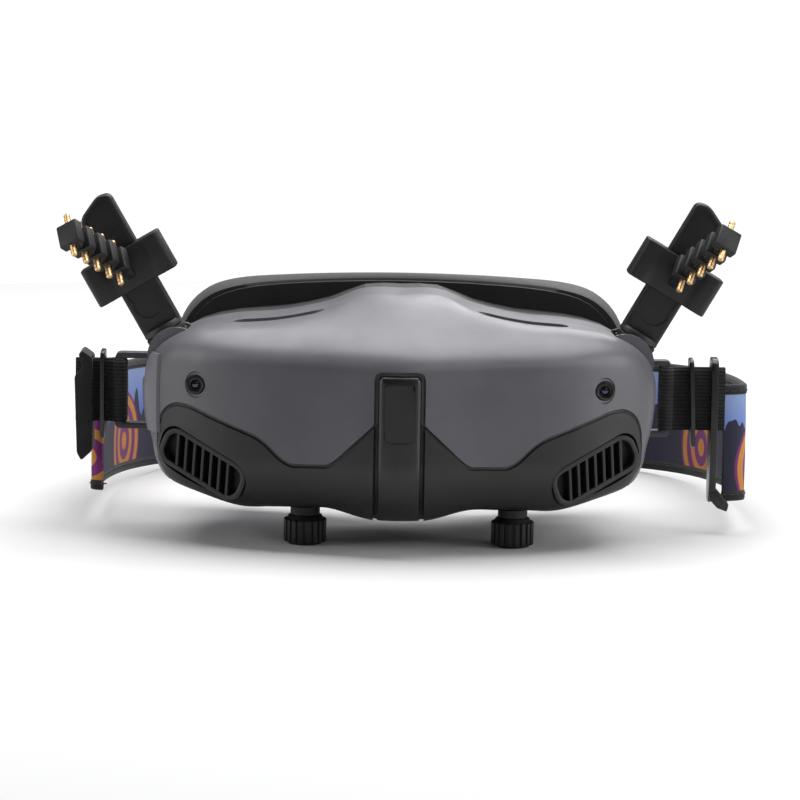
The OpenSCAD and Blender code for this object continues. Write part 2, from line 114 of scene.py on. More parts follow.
def studio():
    world = bpy.data.worlds.new("studio")
    bpy.context.scene.world = world
    world.use_nodes = True
    tree = world.node_tree
    tree.nodes.clear()
    seen = add(tree, "ShaderNodeBackground", {"Color": linear("#ffffff"), "Strength": 1.05})
    fill = add(tree, "ShaderNodeBackground", {"Color": linear("#eef1f6"), "Strength": 0.10})
    path = add(tree, "ShaderNodeLightPath")
    both = add(tree, "ShaderNodeMixShader", {0: path.outputs["Is Camera Ray"],
                                             1: fill.outputs[0], 2: seen.outputs[0]})
    add(tree, "ShaderNodeOutputWorld", {"Surface": both.outputs[0]})
    bpy.context.scene.view_settings.view_transform = "Standard"
    softbox("overhead softbox", (0.05, 0.14, 0.9), (0, 0, 0), (1.3, 0.8), 14.5)
    softbox("front strip", (0.6, -1.2, 0.6), (0.03, -0.05, 0), (0.6, 0.3), 1.1)
    for side, watts in ((-1, 3.4), (1, 4.6)):
        softbox("side softbox", (side * 0.95, -0.30, 0.25), (side * 0.05, -0.03, 0), (0.5, 0.8),
                watts)
    softbox("rear softbox", (0.35, 1.0, 0.7), (0, 0.05, 0), (0.8, 0.6), 5)


def floor():
    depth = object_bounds()[0].z
    bpy.ops.mesh.primitive_circle_add(vertices=96, radius=0.62, fill_type="NGON",
                                      location=(0, 0.06, depth))
    ground = bpy.context.object
    ground.name = "floor"
    paper = bpy.data.materials.new("matte white paper sweep")
    paper.use_nodes = True
    shader = paper.node_tree.nodes["Principled BSDF"]
    shader.inputs["Base Color"].default_value = linear("#e4e4e4")
    shader.inputs["Roughness"].default_value = 0.9
    ground.data.materials.append(paper)
    ground.visible_diffuse = False
    ground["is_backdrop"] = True


camera()
studio()
floor()


# ---- finishes ----

def new_finish(name, colour, rough, **sockets):
    """A material, its node tree, its shader, and Object coordinates."""
    material = bpy.data.materials.new(name)
    material.use_nodes = True
    tree = material.node_tree
    shader = tree.nodes["Principled BSDF"]
    shader.inputs["Base Color"].default_value = linear(colour)
    shader.inputs["Roughness"].default_value = rough
    for socket, value in sockets.items():
        shader.inputs[socket.replace("_", " ")].default_value = value
    place = add(tree, "ShaderNodeTexCoord").outputs["Object"]
    return material, tree, shader, place


def size(millimetres):
    """The noise scale whose features are about this many millimetres across."""
    return 1 / (millimetres * MM)


def shades(tree, value, first, last, start=0.0, end=1.0):
    """The colour between two hex colours at a value; it changes between start and end."""
    ramp = add(tree, "ShaderNodeValToRGB", {"Fac": value})
    for stop, place, code in zip(ramp.color_ramp.elements, (start, end), (first, last)):
        stop.position = place
        stop.color = linear(code)
    return ramp.outputs["Color"]


def mottle(tree, shader, place, dark, light, spread):
    """Slow colour change over a surface, as handling and moulding leave."""
    cloud = add(tree, "ShaderNodeTexNoise", {"Vector": place, "Scale": size(spread), "Detail": 3.0})
    tree.links.new(shades(tree, cloud.outputs["Fac"], dark, light, 0.3, 0.7),
                   shader.inputs["Base Color"])


def uneven_gloss(tree, shader, place, low, high, spread):
    """Roughness that wanders between two values."""
    cloud = add(tree, "ShaderNodeTexNoise", {"Vector": place, "Scale": size(spread), "Detail": 4.0})
    gloss = add(tree, "ShaderNodeMapRange", {"Value": cloud.outputs["Fac"], "From Min": 0.3,
                                             "From Max": 0.7, "To Min": low, "To Max": high})
    tree.links.new(gloss.outputs["Result"], shader.inputs["Roughness"])


def relief(tree, shader, height, depth, strength=1.0, under=None):
    """Bump of a depth in millimetres from a height socket, over another bump if there is one."""
    inputs = {"Height": height, "Distance": depth * MM, "Strength": strength}
    if under:
        inputs["Normal"] = under
    bump = add(tree, "ShaderNodeBump", inputs)
    tree.links.new(bump.outputs["Normal"], shader.inputs["Normal"])
    return bump.outputs["Normal"]


def moulded(name, dark, light, rough, grain, depth, **sockets):
    """Injection moulded plastic: a fine sparked grain, uneven gloss and slow colour change."""
    material, tree, shader, place = new_finish(name, light, rough, **sockets)
    mottle(tree, shader, place, dark, light, 18)
    uneven_gloss(tree, shader, place, rough - 0.05, rough + 0.06, 7)
    sparks = add(tree, "ShaderNodeTexNoise", {"Vector": place, "Scale": size(grain),
                                              "Detail": 2.0, "Roughness": 0.6})
    relief(tree, shader, sparks.outputs["Fac"], depth)
    return material


def metal(name, colour, rough, stretch):
    """Machined metal, with fine turning lines along one axis."""
    material, tree, shader, place = new_finish(name, colour, rough, Metallic=1.0)
    along = add(tree, "ShaderNodeMapping", {"Vector": place, "Scale": stretch})
    lines = add(tree, "ShaderNodeTexNoise", {"Vector": along.outputs[0], "Scale": size(0.5),
                                             "Detail": 3.0})
    gloss = add(tree, "ShaderNodeMapRange", {"Value": lines.outputs["Fac"], "To Min": rough - 0.08,
                                             "To Max": rough + 0.12})
    tree.links.new(gloss.outputs["Result"], shader.inputs["Roughness"])
    relief(tree, shader, lines.outputs["Fac"], 0.01)
    return material


def clear_glass(name, colour, rough, **sockets):
    """Polished glass or acrylic, with faint smears that only change its gloss."""
    material, tree, shader, place = new_finish(name, colour, rough, **sockets)
    uneven_gloss(tree, shader, place, rough, rough + 0.05, 9)
    return material


def coated_foam():
    """Polyurethane leather over foam: soft pebbles about 0.7 mm across, a low sheen and creases."""
    material, tree, shader, place = new_finish("polyurethane leather over foam", "#19191b", 0.62,
                                               Sheen_Weight=0.18, Sheen_Roughness=0.5)
    mottle(tree, shader, place, "#141416", "#1d1d1f", 16)
    pebbles = add(tree, "ShaderNodeTexVoronoi", {"Vector": place, "Scale": size(0.75)},
                  feature="DISTANCE_TO_EDGE")
    edge = add(tree, "ShaderNodeMapRange", {"Value": pebbles.outputs["Distance"], "From Max": 0.25})
    grain = relief(tree, shader, edge.outputs["Result"], 0.05, 0.7)
    creases = add(tree, "ShaderNodeTexNoise", {"Vector": place, "Scale": size(9), "Detail": 3.0})
    relief(tree, shader, creases.outputs["Fac"], 0.5, 0.5, grain)
    return material


def woven_elastic():
    """Braided elastic tape: ribs 1.1 mm apart across it and a slanting twist of yarn, no gloss."""
    rib, slant = size(1.1), math.radians(35)
    material, tree, shader, place = new_finish("braided black elastic", "#1d1d1e", 0.9,
                                               Sheen_Weight=0.25, Sheen_Roughness=0.6)
    apart = add(tree, "ShaderNodeSeparateXYZ", {"Vector": place})
    turned = add(tree, "ShaderNodeMapping", {"Vector": place, "Rotation": (0, slant, 0)})
    twist = add(tree, "ShaderNodeTexWave", {"Vector": turned.outputs[0], "Scale": rib / 20,
                                            "Distortion": 0.6, "Detail": 1.0},
                bands_direction="X")
    ribs = maths(tree, "MULTIPLY", apart.outputs["Z"], 2 * math.pi * rib)
    yarn = maths(tree, "ADD", maths(tree, "SINE", ribs), twist.outputs["Fac"])
    # Base colour follows the bump's height: painted shade in the grooves and painted highlight on
    # the rib crests, not dyed yarn.
    painted_rib_shading = add(tree, "ShaderNodeMapRange", {"Value": yarn, "From Min": -1.0, "From Max": 2.0})
    tree.links.new(shades(tree, painted_rib_shading.outputs["Result"], "#101011", "#343436"),
                   shader.inputs["Base Color"])
    relief(tree, shader, yarn, 0.14, 0.8)
    return material


def printed_band():
    """Printed polyester band: sky, dark ridges and rings, repeated every 64 mm on its own UV.
    U runs along the band and V up it, both in metres. The weave is drawn at 0.6 mm so it shows."""
    picture, tall, ring_gap = 0.064, 0.036, 0.0062
    disc_along, disc_up, disc_radius = 0.020, 0.010, 0.0165
    yarn = 2 * math.pi * size(0.6)
    material, tree, shader, _ = new_finish("printed polyester band", "#3b6be8", 0.78,
                                           Sheen_Weight=0.12)

    def calc(kind, *values):
        return maths(tree, kind, *values)

    def painted(mask, under, code):
        return add(tree, "ShaderNodeMix", {"Factor": mask, "A": under, "B": linear(code)},
                   data_type="RGBA").outputs["Result"]

    flat = add(tree, "ShaderNodeUVMap", uv_map="UVMap").outputs[0]
    apart = add(tree, "ShaderNodeSeparateXYZ", {"Vector": flat})
    along, up = apart.outputs["X"], apart.outputs["Y"]
    height = calc("DIVIDE", up, tall)
    sky = shades(tree, height, "#2f5fe0", "#b4cdf8", 0.35, 1.0)
    ridge = add(tree, "ShaderNodeTexNoise", {"W": calc("MULTIPLY", along, size(9)),
                                             "Scale": 1.0, "Detail": 2.0},
                noise_dimensions="1D")
    crest = calc("MULTIPLY_ADD", ridge.outputs["Fac"], 0.62, 0.30)
    land = painted(calc("LESS_THAN", height, crest), sky, "#1b1836")
    across = calc("SUBTRACT", calc("MODULO", along, picture), disc_along)
    over = calc("SUBTRACT", up, disc_up)
    reach = calc("SQRT", calc("ADD", calc("MULTIPLY", across, across),
                              calc("MULTIPLY", over, over)))
    inside = calc("LESS_THAN", reach, disc_radius)
    wave = calc("SINE", calc("MULTIPLY", reach, 2 * math.pi / ring_gap))
    rings = calc("MULTIPLY", calc("GREATER_THAN", wave, 0.1), inside)
    cloth = painted(rings, painted(inside, land, "#8a2c80"), "#f0a040")
    weave = calc("MULTIPLY", calc("SINE", calc("MULTIPLY", along, yarn)),
                   calc("SINE", calc("MULTIPLY", up, yarn)))
    dim = painted(calc("MULTIPLY_ADD", weave, 0.06, 0.06), cloth, "#15141c")
    tree.links.new(dim, shader.inputs["Base Color"])
    relief(tree, shader, weave, 0.06, 0.7)
    return material


# What each real surface is made of: dark and light tone, roughness, grain and its depth in mm
SHELL = moulded("satin painted ABS shell", "#69686e", "#737278", 0.40, 0.35, 0.006,
                Coat_Weight=0.15, Coat_Roughness=0.35)
FASCIA = moulded("sparked black polycarbonate", "#09090a", "#0e0e0f", 0.42, 0.45, 0.02)
BEZEL = moulded("satin black nose trim", "#070708", "#0b0b0c", 0.34, 0.4, 0.006)
PANE = clear_glass("smoked acrylic window", "#020203", 0.05, IOR=1.4)
CAMERA_BODY = moulded("matte black camera ring", "#0c0c0d", "#151517", 0.42, 0.3, 0.01)
CAMERA_GLASS = clear_glass("coated camera glass", "#06080d", 0.05, IOR=1.6, Coat_Weight=1.0,
                           Coat_Tint=linear("#9fb8ff"))
MESH = moulded("black perforated steel sheet", "#141415", "#1e1e20", 0.5, 0.3, 0.008)
GRILLE = moulded("black grille nylon", "#121213", "#1b1b1d", 0.48, 0.4, 0.015)
PANEL = moulded("satin grey touch panel", "#85858b", "#939399", 0.36, 0.4, 0.004)
FOAM = coated_foam()
FRAME_PLASTIC = moulded("matte black face frame", "#161617", "#202022", 0.55, 0.4, 0.02)
REAR = moulded("matte graphite rear frame", "#29292b", "#343437", 0.55, 0.45, 0.02)
INNER = moulded("black inner mount plastic", "#1d1d1f", "#29292c", 0.6, 0.45, 0.02)
BOARD = moulded("green solder mask board", "#163c2a", "#215a3d", 0.35, 1.4, 0.03)
DISPLAY = clear_glass("unlit micro display glass", "#0b0e12", 0.08, IOR=1.52, Coat_Weight=0.5)
ALUMINIUM = metal("machined aluminium fins", "#b9bcc0", 0.38, (1, 6, 1))
STEEL = metal("ground steel pin", "#b5b7ba", 0.26, (8, 1, 1))
LENS = clear_glass("coated eye lens glass", "#aebfd0", 0.03, IOR=1.55, Transmission_Weight=0.85,
                   Coat_Weight=0.4)
KNOB = moulded("rubber coated knob", "#090909", "#0e0e0f", 0.55, 0.35, 0.02)
PORT = moulded("black socket nylon", "#101011", "#18181a", 0.45, 0.4, 0.01)
ANTENNA = moulded("matte black antenna nylon", "#0f0f10", "#161618", 0.48, 0.45, 0.022)
CLIP = moulded("printed black clip plastic", "#0e0e0f", "#151517", 0.52, 0.5, 0.03)
GOLD = metal("gold plated brass rod", "#f3c993", 0.34, (1, 1, 5))
BRACKET = moulded("satin graphite strap bracket", "#3c3c40", "#4b4b50", 0.42, 0.4, 0.01)
BUCKLE = moulded("glossy black acetal buckle", "#0f0f10", "#19191b", 0.3, 0.5, 0.008)
ELASTIC = woven_elastic()
BAND = printed_band()
BINDING = moulded("black woven edge binding", "#101011", "#1e1e20", 0.85, 0.6, 0.12,
                  Sheen_Weight=0.2)
WEBBING = moulded("black nylon webbing", "#0b0b0c", "#131314", 0.8, 0.5, 0.10, Sheen_Weight=0.15)
THREAD = moulded("waxed black thread", "#232325", "#2f2f32", 0.6, 0.3, 0.05)


# ---- making pieces ----

SHARP = math.radians(30)
WELD = 1e-4


def grid_mesh(rows, cap_start=None, cap_end=None):
    """A bmesh skinned over equal rows of points; a cap is a point that closes that end."""
    bm = bmesh.new()
    lines = [[bm.verts.new(p) for p in row] for row in rows]
    count = len(rows[0])
    for low, high in zip(lines, lines[1:]):
        for i in range(count):
            k = (i + 1) % count
            bm.faces.new((low[i], low[k], high[k], high[i]))
    for cap, line in ((cap_start, lines[0]), (cap_end, lines[-1])):
        if cap is not None:
            tip = bm.verts.new(cap)
            for i in range(count):
                bm.faces.new((tip, line[i], line[(i + 1) % count]))
    bmesh.ops.recalc_face_normals(bm, faces=bm.faces)
    return bm


def lathe(profile, steps=64):
    """A solid of revolution about Z from (radius, height) pairs that start and end on the axis."""
    circle = [(math.cos(2 * math.pi * i / steps), math.sin(2 * math.pi * i / steps))
              for i in range(steps)]
    rows = [[(r * x, r * y, h) for x, y in circle] for r, h in profile if r > 0]
    return grid_mesh(rows, (0, 0, profile[0][1]), (0, 0, profile[-1][1]))


def prism(outline, low, high):
    """An outline in X and Y, raised along Z from low to high."""
    bm = bmesh.new()
    base = [bm.verts.new((x, y, low)) for x, y in outline]
    top = [bm.verts.new((x, y, high)) for x, y in outline]
    count = len(outline)
    bm.faces.new(base)
    bm.faces.new(top)
    for i in range(count):
        bm.faces.new((base[i], base[(i + 1) % count], top[(i + 1) % count], top[i]))
    bmesh.ops.recalc_face_normals(bm, faces=bm.faces)
    return bm


def block(low, high):
    """A box given by two corners."""
    return prism([(low[0], low[1]), (high[0], low[1]), (high[0], high[1]), (low[0], high[1])],
                 low[2], high[2])


def softened(bm, width, steps=2):
    """Every edge that turns by more than SHARP gets a rounded bevel."""
    edges = [e for e in bm.edges if len(e.link_faces) == 2
             and e.calc_face_angle(0) > SHARP]
    bmesh.ops.bevel(bm, geom=edges, offset=width, segments=steps, profile=0.5,
                    affect="EDGES", clamp_overlap=True)
    return bm


def moved(bm, matrix):
    """The mesh under a matrix, its faces turned back outwards if that mirrors it."""
    bm.transform(matrix)
    if matrix.determinant() < 0:
        bmesh.ops.reverse_faces(bm, faces=bm.faces)
    return bm


def turn(degrees, axis):
    return Matrix.Rotation(math.radians(degrees), 4, axis)


def shift(x, y, z):
    return Matrix.Translation((x, y, z))


UPRIGHT = turn(90, "X")
MIRROR = Matrix.Scale(-1, 4, (1, 0, 0))


def on_side(side):
    return Matrix.Identity(4) if side > 0 else MIRROR.copy()


def joined(*parts):
    """Several bmeshes as one."""
    whole = bmesh.new()
    for part in parts:
        mesh = bpy.data.meshes.new("part")
        part.to_mesh(mesh)
        whole.from_mesh(mesh)
        bpy.data.meshes.remove(mesh)
        part.free()
    return whole


def holder(bm, name="holder"):
    mesh = bpy.data.meshes.new(name)
    bm.to_mesh(mesh)
    bm.free()
    thing = bpy.data.objects.new(name, mesh)
    bpy.context.scene.collection.objects.link(thing)
    return thing


def evaluated(thing):
    """A plain mesh of an object with its modifiers applied."""
    graph = bpy.context.evaluated_depsgraph_get()
    return bpy.data.meshes.new_from_object(thing.evaluated_get(graph), depsgraph=graph)


def discard(thing):
    mesh = thing.data
    bpy.data.objects.remove(thing)
    if mesh.users == 0:
        bpy.data.meshes.remove(mesh)


def carved(bm, *cutters, keep=None, more=None):
    """A bmesh kept inside one shape, joined to another, then cut by all the rest."""
    steps = ([("INTERSECT", keep)] if keep else []) + ([("UNION", more)] if more else [])
    body = holder(bm)
    tools = []
    for operation, cutter in steps + [("DIFFERENCE", cutter) for cutter in cutters]:
        tool = holder(cutter, "cutter")
        tools.append(tool)
        change = body.modifiers.new("cut", "BOOLEAN")
        change.operation = operation
        change.solver = "EXACT"
        change.object = tool
    mesh = evaluated(body)
    result = bmesh.new()
    result.from_mesh(mesh)
    bpy.data.meshes.remove(mesh)
    for thing in [body] + tools:
        discard(thing)
    bmesh.ops.remove_doubles(result, verts=result.verts, dist=WELD)
    return result


def piece(name, bm, finish, slot, *stands_for, body="housing", smooth=32):
    """A finished piece: shaded smooth up to an angle, riding on its body, for these CAD nodes."""
    limit = math.radians(smooth)
    for face in bm.faces:
        face.smooth = True
        face.material_index = 0
    for edge in bm.edges:
        edge.smooth = len(edge.link_faces) == 2 and edge.calc_face_angle(0) < limit
    bm.transform(Matrix.Scale(MM, 4))
    mesh = bpy.data.meshes.new(name)
    bm.to_mesh(mesh)
    bm.free()
    mesh.materials.clear()
    mesh.materials.append(finish)
    thing = bpy.data.objects.new(name, mesh)
    bpy.context.scene.collection.objects.link(thing)
    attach(thing, body)
    if stands_for:
        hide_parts(*stands_for)
    return thing


# ---- curves shared with the frame ----

def spline(p, q, r, s, t):
    return 0.5 * (2 * q + (r - p) * t + (2 * p - 5 * q + 4 * r - s) * t * t
                  + (3 * q - p - 3 * r + s) * t * t * t)


def smooth_loop(points, steps):
    """A closed curve through the points."""
    count = len(points)
    vectors = [Vector(p) for p in points]
    return [spline(vectors[i - 1], vectors[i], vectors[(i + 1) % count],
                   vectors[(i + 2) % count], k / steps)
            for i in range(count) for k in range(steps)]


def mirrored(half):
    return half + [(-x, z) for x, z in half[-2:0:-1]]


def along_at(path, i):
    """The direction of an open path at one of its points."""
    before, after = path[max(i - 1, 0)], path[min(i + 1, len(path) - 1)]
    return (Vector(after) - Vector(before)).normalized()


def offset_line(points, distance):
    """An open line moved sideways, to its left for a positive distance."""
    ways = [along_at(points, i) for i in range(len(points))]
    return [Vector(point) + Vector((-way.y, way.x)) * distance
            for point, way in zip(points, ways)]


def rounded_line(points, radius, steps=5):
    """A line with its inner corners rounded."""
    result = [Vector(points[0])]
    for before, corner, after in zip(points, points[1:], points[2:]):
        before, corner, after = Vector(before), Vector(corner), Vector(after)
        back, ahead = before - corner, after - corner
        reach = min(radius, back.length * 0.45, ahead.length * 0.45)
        first, last = corner + back.normalized() * reach, corner + ahead.normalized() * reach
        for k in range(steps + 1):
            t = k / steps
            result.append(first * (1 - t) ** 2 + corner * 2 * t * (1 - t) + last * t * t)
    return result + [Vector(points[-1])]


def rounded_loop(points, radius, steps=5):
    """A closed outline with rounded corners."""
    middle = [(Vector(points[-1]) + Vector(points[0])) / 2]
    return rounded_line(middle + [Vector(p) for p in points] + middle, radius, steps)[1:-1]


def stadium(width, height, radius, centre=(0, 0), steps=8):
    """A rectangle with true round corners."""
    x, y = width / 2 - radius, height / 2 - radius
    return [(centre[0] + (cx + radius * math.cos(math.radians(start + 90 * k / steps))),
             centre[1] + (cy + radius * math.sin(math.radians(start + 90 * k / steps))))
            for cx, cy, start in ((x, y, 0), (-x, y, 90), (-x, -y, 180), (x, -y, 270))
            for k in range(steps + 1)]


def rectangle(x, y):
    """The corners of a rectangle about the origin, from its half sizes."""
    return [(-x, -y), (x, -y), (x, y), (-x, y)]


def inset_loop(points, distance):
    """A closed outline moved inwards by a distance; the outline runs anticlockwise."""
    count = len(points)
    result = []
    for i, point in enumerate(points):
        along = (Vector(points[(i + 1) % count]) - Vector(points[i - 1])).normalized()
        result.append(Vector(point) + Vector((-along.y, along.x)) * distance)
    return result


def pebble(outline, low, high, round_over, steps=4):
    """A plate with rounded edges over a smooth outline in X and Y."""
    rows = []
    for k in range(steps + 1):
        angle = math.radians(90 * k / steps)
        rows.append([(p.x, p.y, low + round_over * (1 - math.sin(angle)))
                     for p in inset_loop(outline, round_over * (1 - math.cos(angle)))])
    top = [[(x, y, low + high - z) for x, y, z in row] for row in reversed(rows)]
    middle = sum((Vector(p) for p in outline), Vector((0, 0))) / len(outline)
    return grid_mesh(rows[::-1] + top[::-1], (middle.x, middle.y, low),
                     (middle.x, middle.y, high))


def tube(path, radius, sides=10):
    """A round bar along a path of points."""
    rows, reference = [], along_at(path, 0).orthogonal().normalized()
    for i, point in enumerate(path):
        along = along_at(path, i)
        reference = (reference - along * reference.dot(along)).normalized()
        other = along.cross(reference)
        rows.append([Vector(point) + (reference * math.cos(2 * math.pi * k / sides)
                                      + other * math.sin(2 * math.pi * k / sides)) * radius
                     for k in range(sides)])
    return grid_mesh(rows, path[0], path[-1])


# ---- repeats, made by geometry nodes ----

def tree_with(name, sizes):
    """A geometry node tree with a Material and named number inputs, and its two end nodes."""
    tree = bpy.data.node_groups.new(name, "GeometryNodeTree")
    tree.interface.new_socket("Geometry", in_out="INPUT", socket_type="NodeSocketGeometry")
    tree.interface.new_socket("Finish", in_out="INPUT", socket_type="NodeSocketMaterial")
    for label, kind in sizes:
        tree.interface.new_socket(label, in_out="INPUT", socket_type="NodeSocket" + kind)
    tree.interface.new_socket("Geometry", in_out="OUTPUT", socket_type="NodeSocketGeometry")
    return tree, add(tree, "NodeGroupInput").outputs


def closed_tree(tree, given, instances):
    real = add(tree, "GeometryNodeRealizeInstances", {"Geometry": instances})
    dressed = add(tree, "GeometryNodeSetMaterial", {"Geometry": real.outputs[0],
                                                    "Material": given["Finish"]})
    add(tree, "NodeGroupOutput", {0: dressed.outputs[0]})
    return tree


def rows_tree():
    """Copies of one shape in rows: a number along each of two steps."""
    tree, given = tree_with("rows of one shape", [("Across", "Int"), ("Up", "Int"),
                                                  ("Step", "Vector"), ("Rise", "Vector"),
                                                  ("Start", "Vector")])
    line = add(tree, "GeometryNodeMeshLine", {"Count": given["Across"], "Offset": given["Step"],
                                              "Start Location": given["Start"]})
    column = add(tree, "GeometryNodeMeshLine", {"Count": given["Up"], "Offset": given["Rise"]})
    row = add(tree, "GeometryNodeInstanceOnPoints", {"Points": line.outputs[0],
                                                     "Instance": given["Geometry"]})
    solid = add(tree, "GeometryNodeRealizeInstances", {"Geometry": row.outputs[0]})
    block_of = add(tree, "GeometryNodeInstanceOnPoints", {"Points": column.outputs[0],
                                                          "Instance": solid.outputs[0]})
    return closed_tree(tree, given, block_of.outputs[0])


def ring_tree():
    """Copies of one shape round the Z axis, each turned to face out."""
    tree, given = tree_with("ring of one shape", [("Number", "Int"), ("Radius", "Float")])
    line = add(tree, "GeometryNodeMeshLine", {"Count": given["Number"], "Offset": (0, 0, 0)})
    index = add(tree, "GeometryNodeInputIndex")
    share = maths(tree, "DIVIDE", index.outputs[0], given["Number"])
    angle = maths(tree, "MULTIPLY", share, 2 * math.pi)
    spin = add(tree, "ShaderNodeCombineXYZ", {"Z": angle})
    out = add(tree, "ShaderNodeCombineXYZ", {"X": given["Radius"]})
    place = add(tree, "ShaderNodeVectorRotate", {"Vector": out.outputs[0], "Angle": angle},
                rotation_type="Z_AXIS")
    at = add(tree, "GeometryNodeSetPosition", {"Geometry": line.outputs[0],
                                               "Position": place.outputs[0]})
    copies = add(tree, "GeometryNodeInstanceOnPoints", {"Points": at.outputs[0],
                                                        "Instance": given["Geometry"],
                                                        "Rotation": spin.outputs[0]})
    return closed_tree(tree, given, copies.outputs[0])


def stitch_tree():
    """Stitches of one length along the edges of a path, lying along it."""
    tree, given = tree_with("stitches along a path", [("Pitch", "Float"), ("Stitch", "Float"),
                                                      ("Thread", "Float")])
    path = add(tree, "GeometryNodeMeshToCurve", {"Mesh": given["Geometry"]})
    points = add(tree, "GeometryNodeCurveToPoints", {"Curve": path.outputs[0],
                                                     "Length": given["Pitch"]}, mode="LENGTH")
    half = maths(tree, "MULTIPLY", given["Thread"], 0.5)
    shape = add(tree, "GeometryNodeMeshCylinder", {"Vertices": 6, "Radius": half,
                                                   "Depth": given["Stitch"]})
    copies = add(tree, "GeometryNodeInstanceOnPoints", {"Points": points.outputs["Points"],
                                                        "Instance": shape.outputs["Mesh"]})
    along = add(tree, "FunctionNodeAlignRotationToVector",
                {"Vector": points.outputs["Tangent"]}, axis="Z")
    tree.links.new(along.outputs[0], copies.inputs["Rotation"])
    return closed_tree(tree, given, copies.outputs[0])


ROWS = rows_tree()
RING = ring_tree()
STITCHES = stitch_tree()


def grown(tree, source, finish, **values):
    """The mesh that a tree makes from a source shape, with its named inputs set."""
    thing = holder(source)
    change = thing.modifiers.new("grow", "NODES")
    change.node_group = tree
    values["Finish"] = finish
    for socket in tree.interface.items_tree:
        if socket.in_out == "INPUT" and socket.name in values:
            change[socket.identifier] = values[socket.name]
    thing.update_tag()
    mesh = evaluated(thing)
    bm = bmesh.new()
    bm.from_mesh(mesh)
    thing.modifiers.clear()
    bpy.data.meshes.remove(mesh)
    discard(thing)
    return bm


# ---- the housing's surface ----

OUTLINE_HALF = [
    (0, 31), (12, 30.8), (24, 26.6), (38, 23.8), (54, 22.4), (66, 19.6), (74.5, 14),
    (78.2, 5.6), (77.7, -6), (75.8, -14), (74.4, -20), (70.6, -25.7), (60, -29.6),
    (48.5, -32.8), (39, -32.4), (30, -32), (21, -31.8), (10, -34.8), (0, -36)]
FASCIA_HALF = [
    (6.4, -3.5), (17.7, -14.6), (20.9, -17.3), (32.5, -17.7), (35.6, -16.1), (42, -10),
    (56.6, -4.7), (64, -1.8), (68.4, -1.6), (71.6, -4), (73.2, -8), (74, -14),
    (73.3, -20), (69.8, -25), (69, -45)]
BODY_DEPTH, HALF_WIDE, HALF_HIGH = 72, 76, 30
BROW_Z, CHIN_Z = 12, 16
WALL = 2.2
SPLIT = -12
OUTLINE = smooth_loop(mirrored(OUTLINE_HALF), 6)
FRONT_STEPS = [0.04, 0.09, 0.15, 0.21, 0.27, 0.33, 0.39, 0.45, 0.51, 0.57, 0.63, 0.69, 0.75,
               0.80, 0.85, 0.895]
SIDE_STEPS = [0.2, 0.3, 0.4, 0.52, 0.64, 0.76, 0.88, 1.0]
EDGE_FROM, EDGE_TO = 0.93, 0.11
EDGE_STEPS = 7


def taper(share):
    """How far the sides draw in towards the back, from 1 at the front edge."""
    return 1 - 0.065 * share ** 1.5


def front_y(x, z):
    """Depth of the front face at a point of the front view."""
    return (8 - BODY_DEPTH - 8 * math.exp(-(x / 20) ** 2) + 26 * (abs(x) / 78) ** 3.2
            + 0.10 * max(0, z - BROW_Z) ** 2 + 0.035 * max(0, -z - CHIN_Z) ** 2)


def body_form(inset):
    """The closed housing form, its walls moved in by inset; its front edge is rolled."""
    narrow, low = 1 - inset / HALF_WIDE, 1 - inset / HALF_HIGH

    def front(point, share):
        x, z = point.x * share, point.y * share
        return Vector((x * narrow, front_y(x, z) + inset, z * low))

    def side(point, share):
        return Vector((point.x * taper(share) * narrow,
                       (front_y(point.x, point.y) + inset) * (1 - share) + max(inset, 0) * share,
                       point.y * low))

    def rolled(point, t):
        return (front(point, EDGE_FROM) * (1 - t) ** 2 + front(point, 1) * 2 * t * (1 - t)
                + side(point, EDGE_TO) * t * t)

    rows = [[front(p, share) for p in OUTLINE] for share in FRONT_STEPS]
    rows += [[rolled(p, k / EDGE_STEPS) for p in OUTLINE] for k in range(EDGE_STEPS + 1)]
    rows += [[side(p, share) for p in OUTLINE] for share in SIDE_STEPS]
    return grid_mesh(rows, (0, front_y(0, 0) + inset, 0), (0, max(inset, 0), 0))


def prism_y(outline, low, high):
    """An outline in X and Z, raised along Y from low to high."""
    return moved(prism(outline, -high, -low), UPRIGHT)


def behind_split():
    return block((-90, SPLIT, -60), (90, 20, 60))


FASCIA_CORNER = 3.2
FASCIA_LINE = rounded_line(FASCIA_HALF, FASCIA_CORNER)
SEAM_X, SEAM_LOW = 69.6, -25.5


def fascia_prism(gap):
    """The lower fascia's outline in the front view, all the way through."""
    line = rounded_line(offset_line(FASCIA_HALF, gap), FASCIA_CORNER)
    return prism_y([tuple(p) for p in line] + [(-p.x, p.y) for p in reversed(line)], -95, 12)


def lower_edge(x):
    """Height of the housing's lower edge at a distance from the middle."""
    low = [p for p in OUTLINE if p.y < -8 and p.x > 0]
    before = min((p for p in low if p.x <= x), key=lambda p: x - p.x)
    after = min((p for p in low if p.x > x), key=lambda p: p.x - x)
    return before.y + (after.y - before.y) * (x - before.x) / (after.x - before.x)


def seam_path():
    """The seam between shell and fascia: over the front face, then back along the underside."""
    path = [Vector((p.x, front_y(p.x, p.y), p.y)) for p in FASCIA_LINE if p.y > SEAM_LOW]
    for share in (0.02, 0.1, 0.25, 0.4, 0.55, 0.7, 0.85):
        wide = SEAM_X / taper(share)
        z = lower_edge(wide)
        path.append(Vector((SEAM_X, front_y(wide, z) * (1 - share), z)))
    return path


def seam_groove(side, radius):
    return moved(tube(seam_path(), radius, 10), on_side(side))


NOSE_HALF, NOSE_TOP, NOSE_LOW = 6.4, 11, -34


def nose_outline(gap):
    top, side, low = NOSE_TOP + gap, NOSE_HALF + gap, NOSE_LOW - 6
    return rounded_loop([(-side, low), (side, low), (side, top), (-side, top)], 1.6 + gap)


def nose_moat():
    """The shallow groove round the nose trim, in the shell and the fascia."""
    return carved(prism_y(nose_outline(1.25), -90, -50), body_form(1.3))


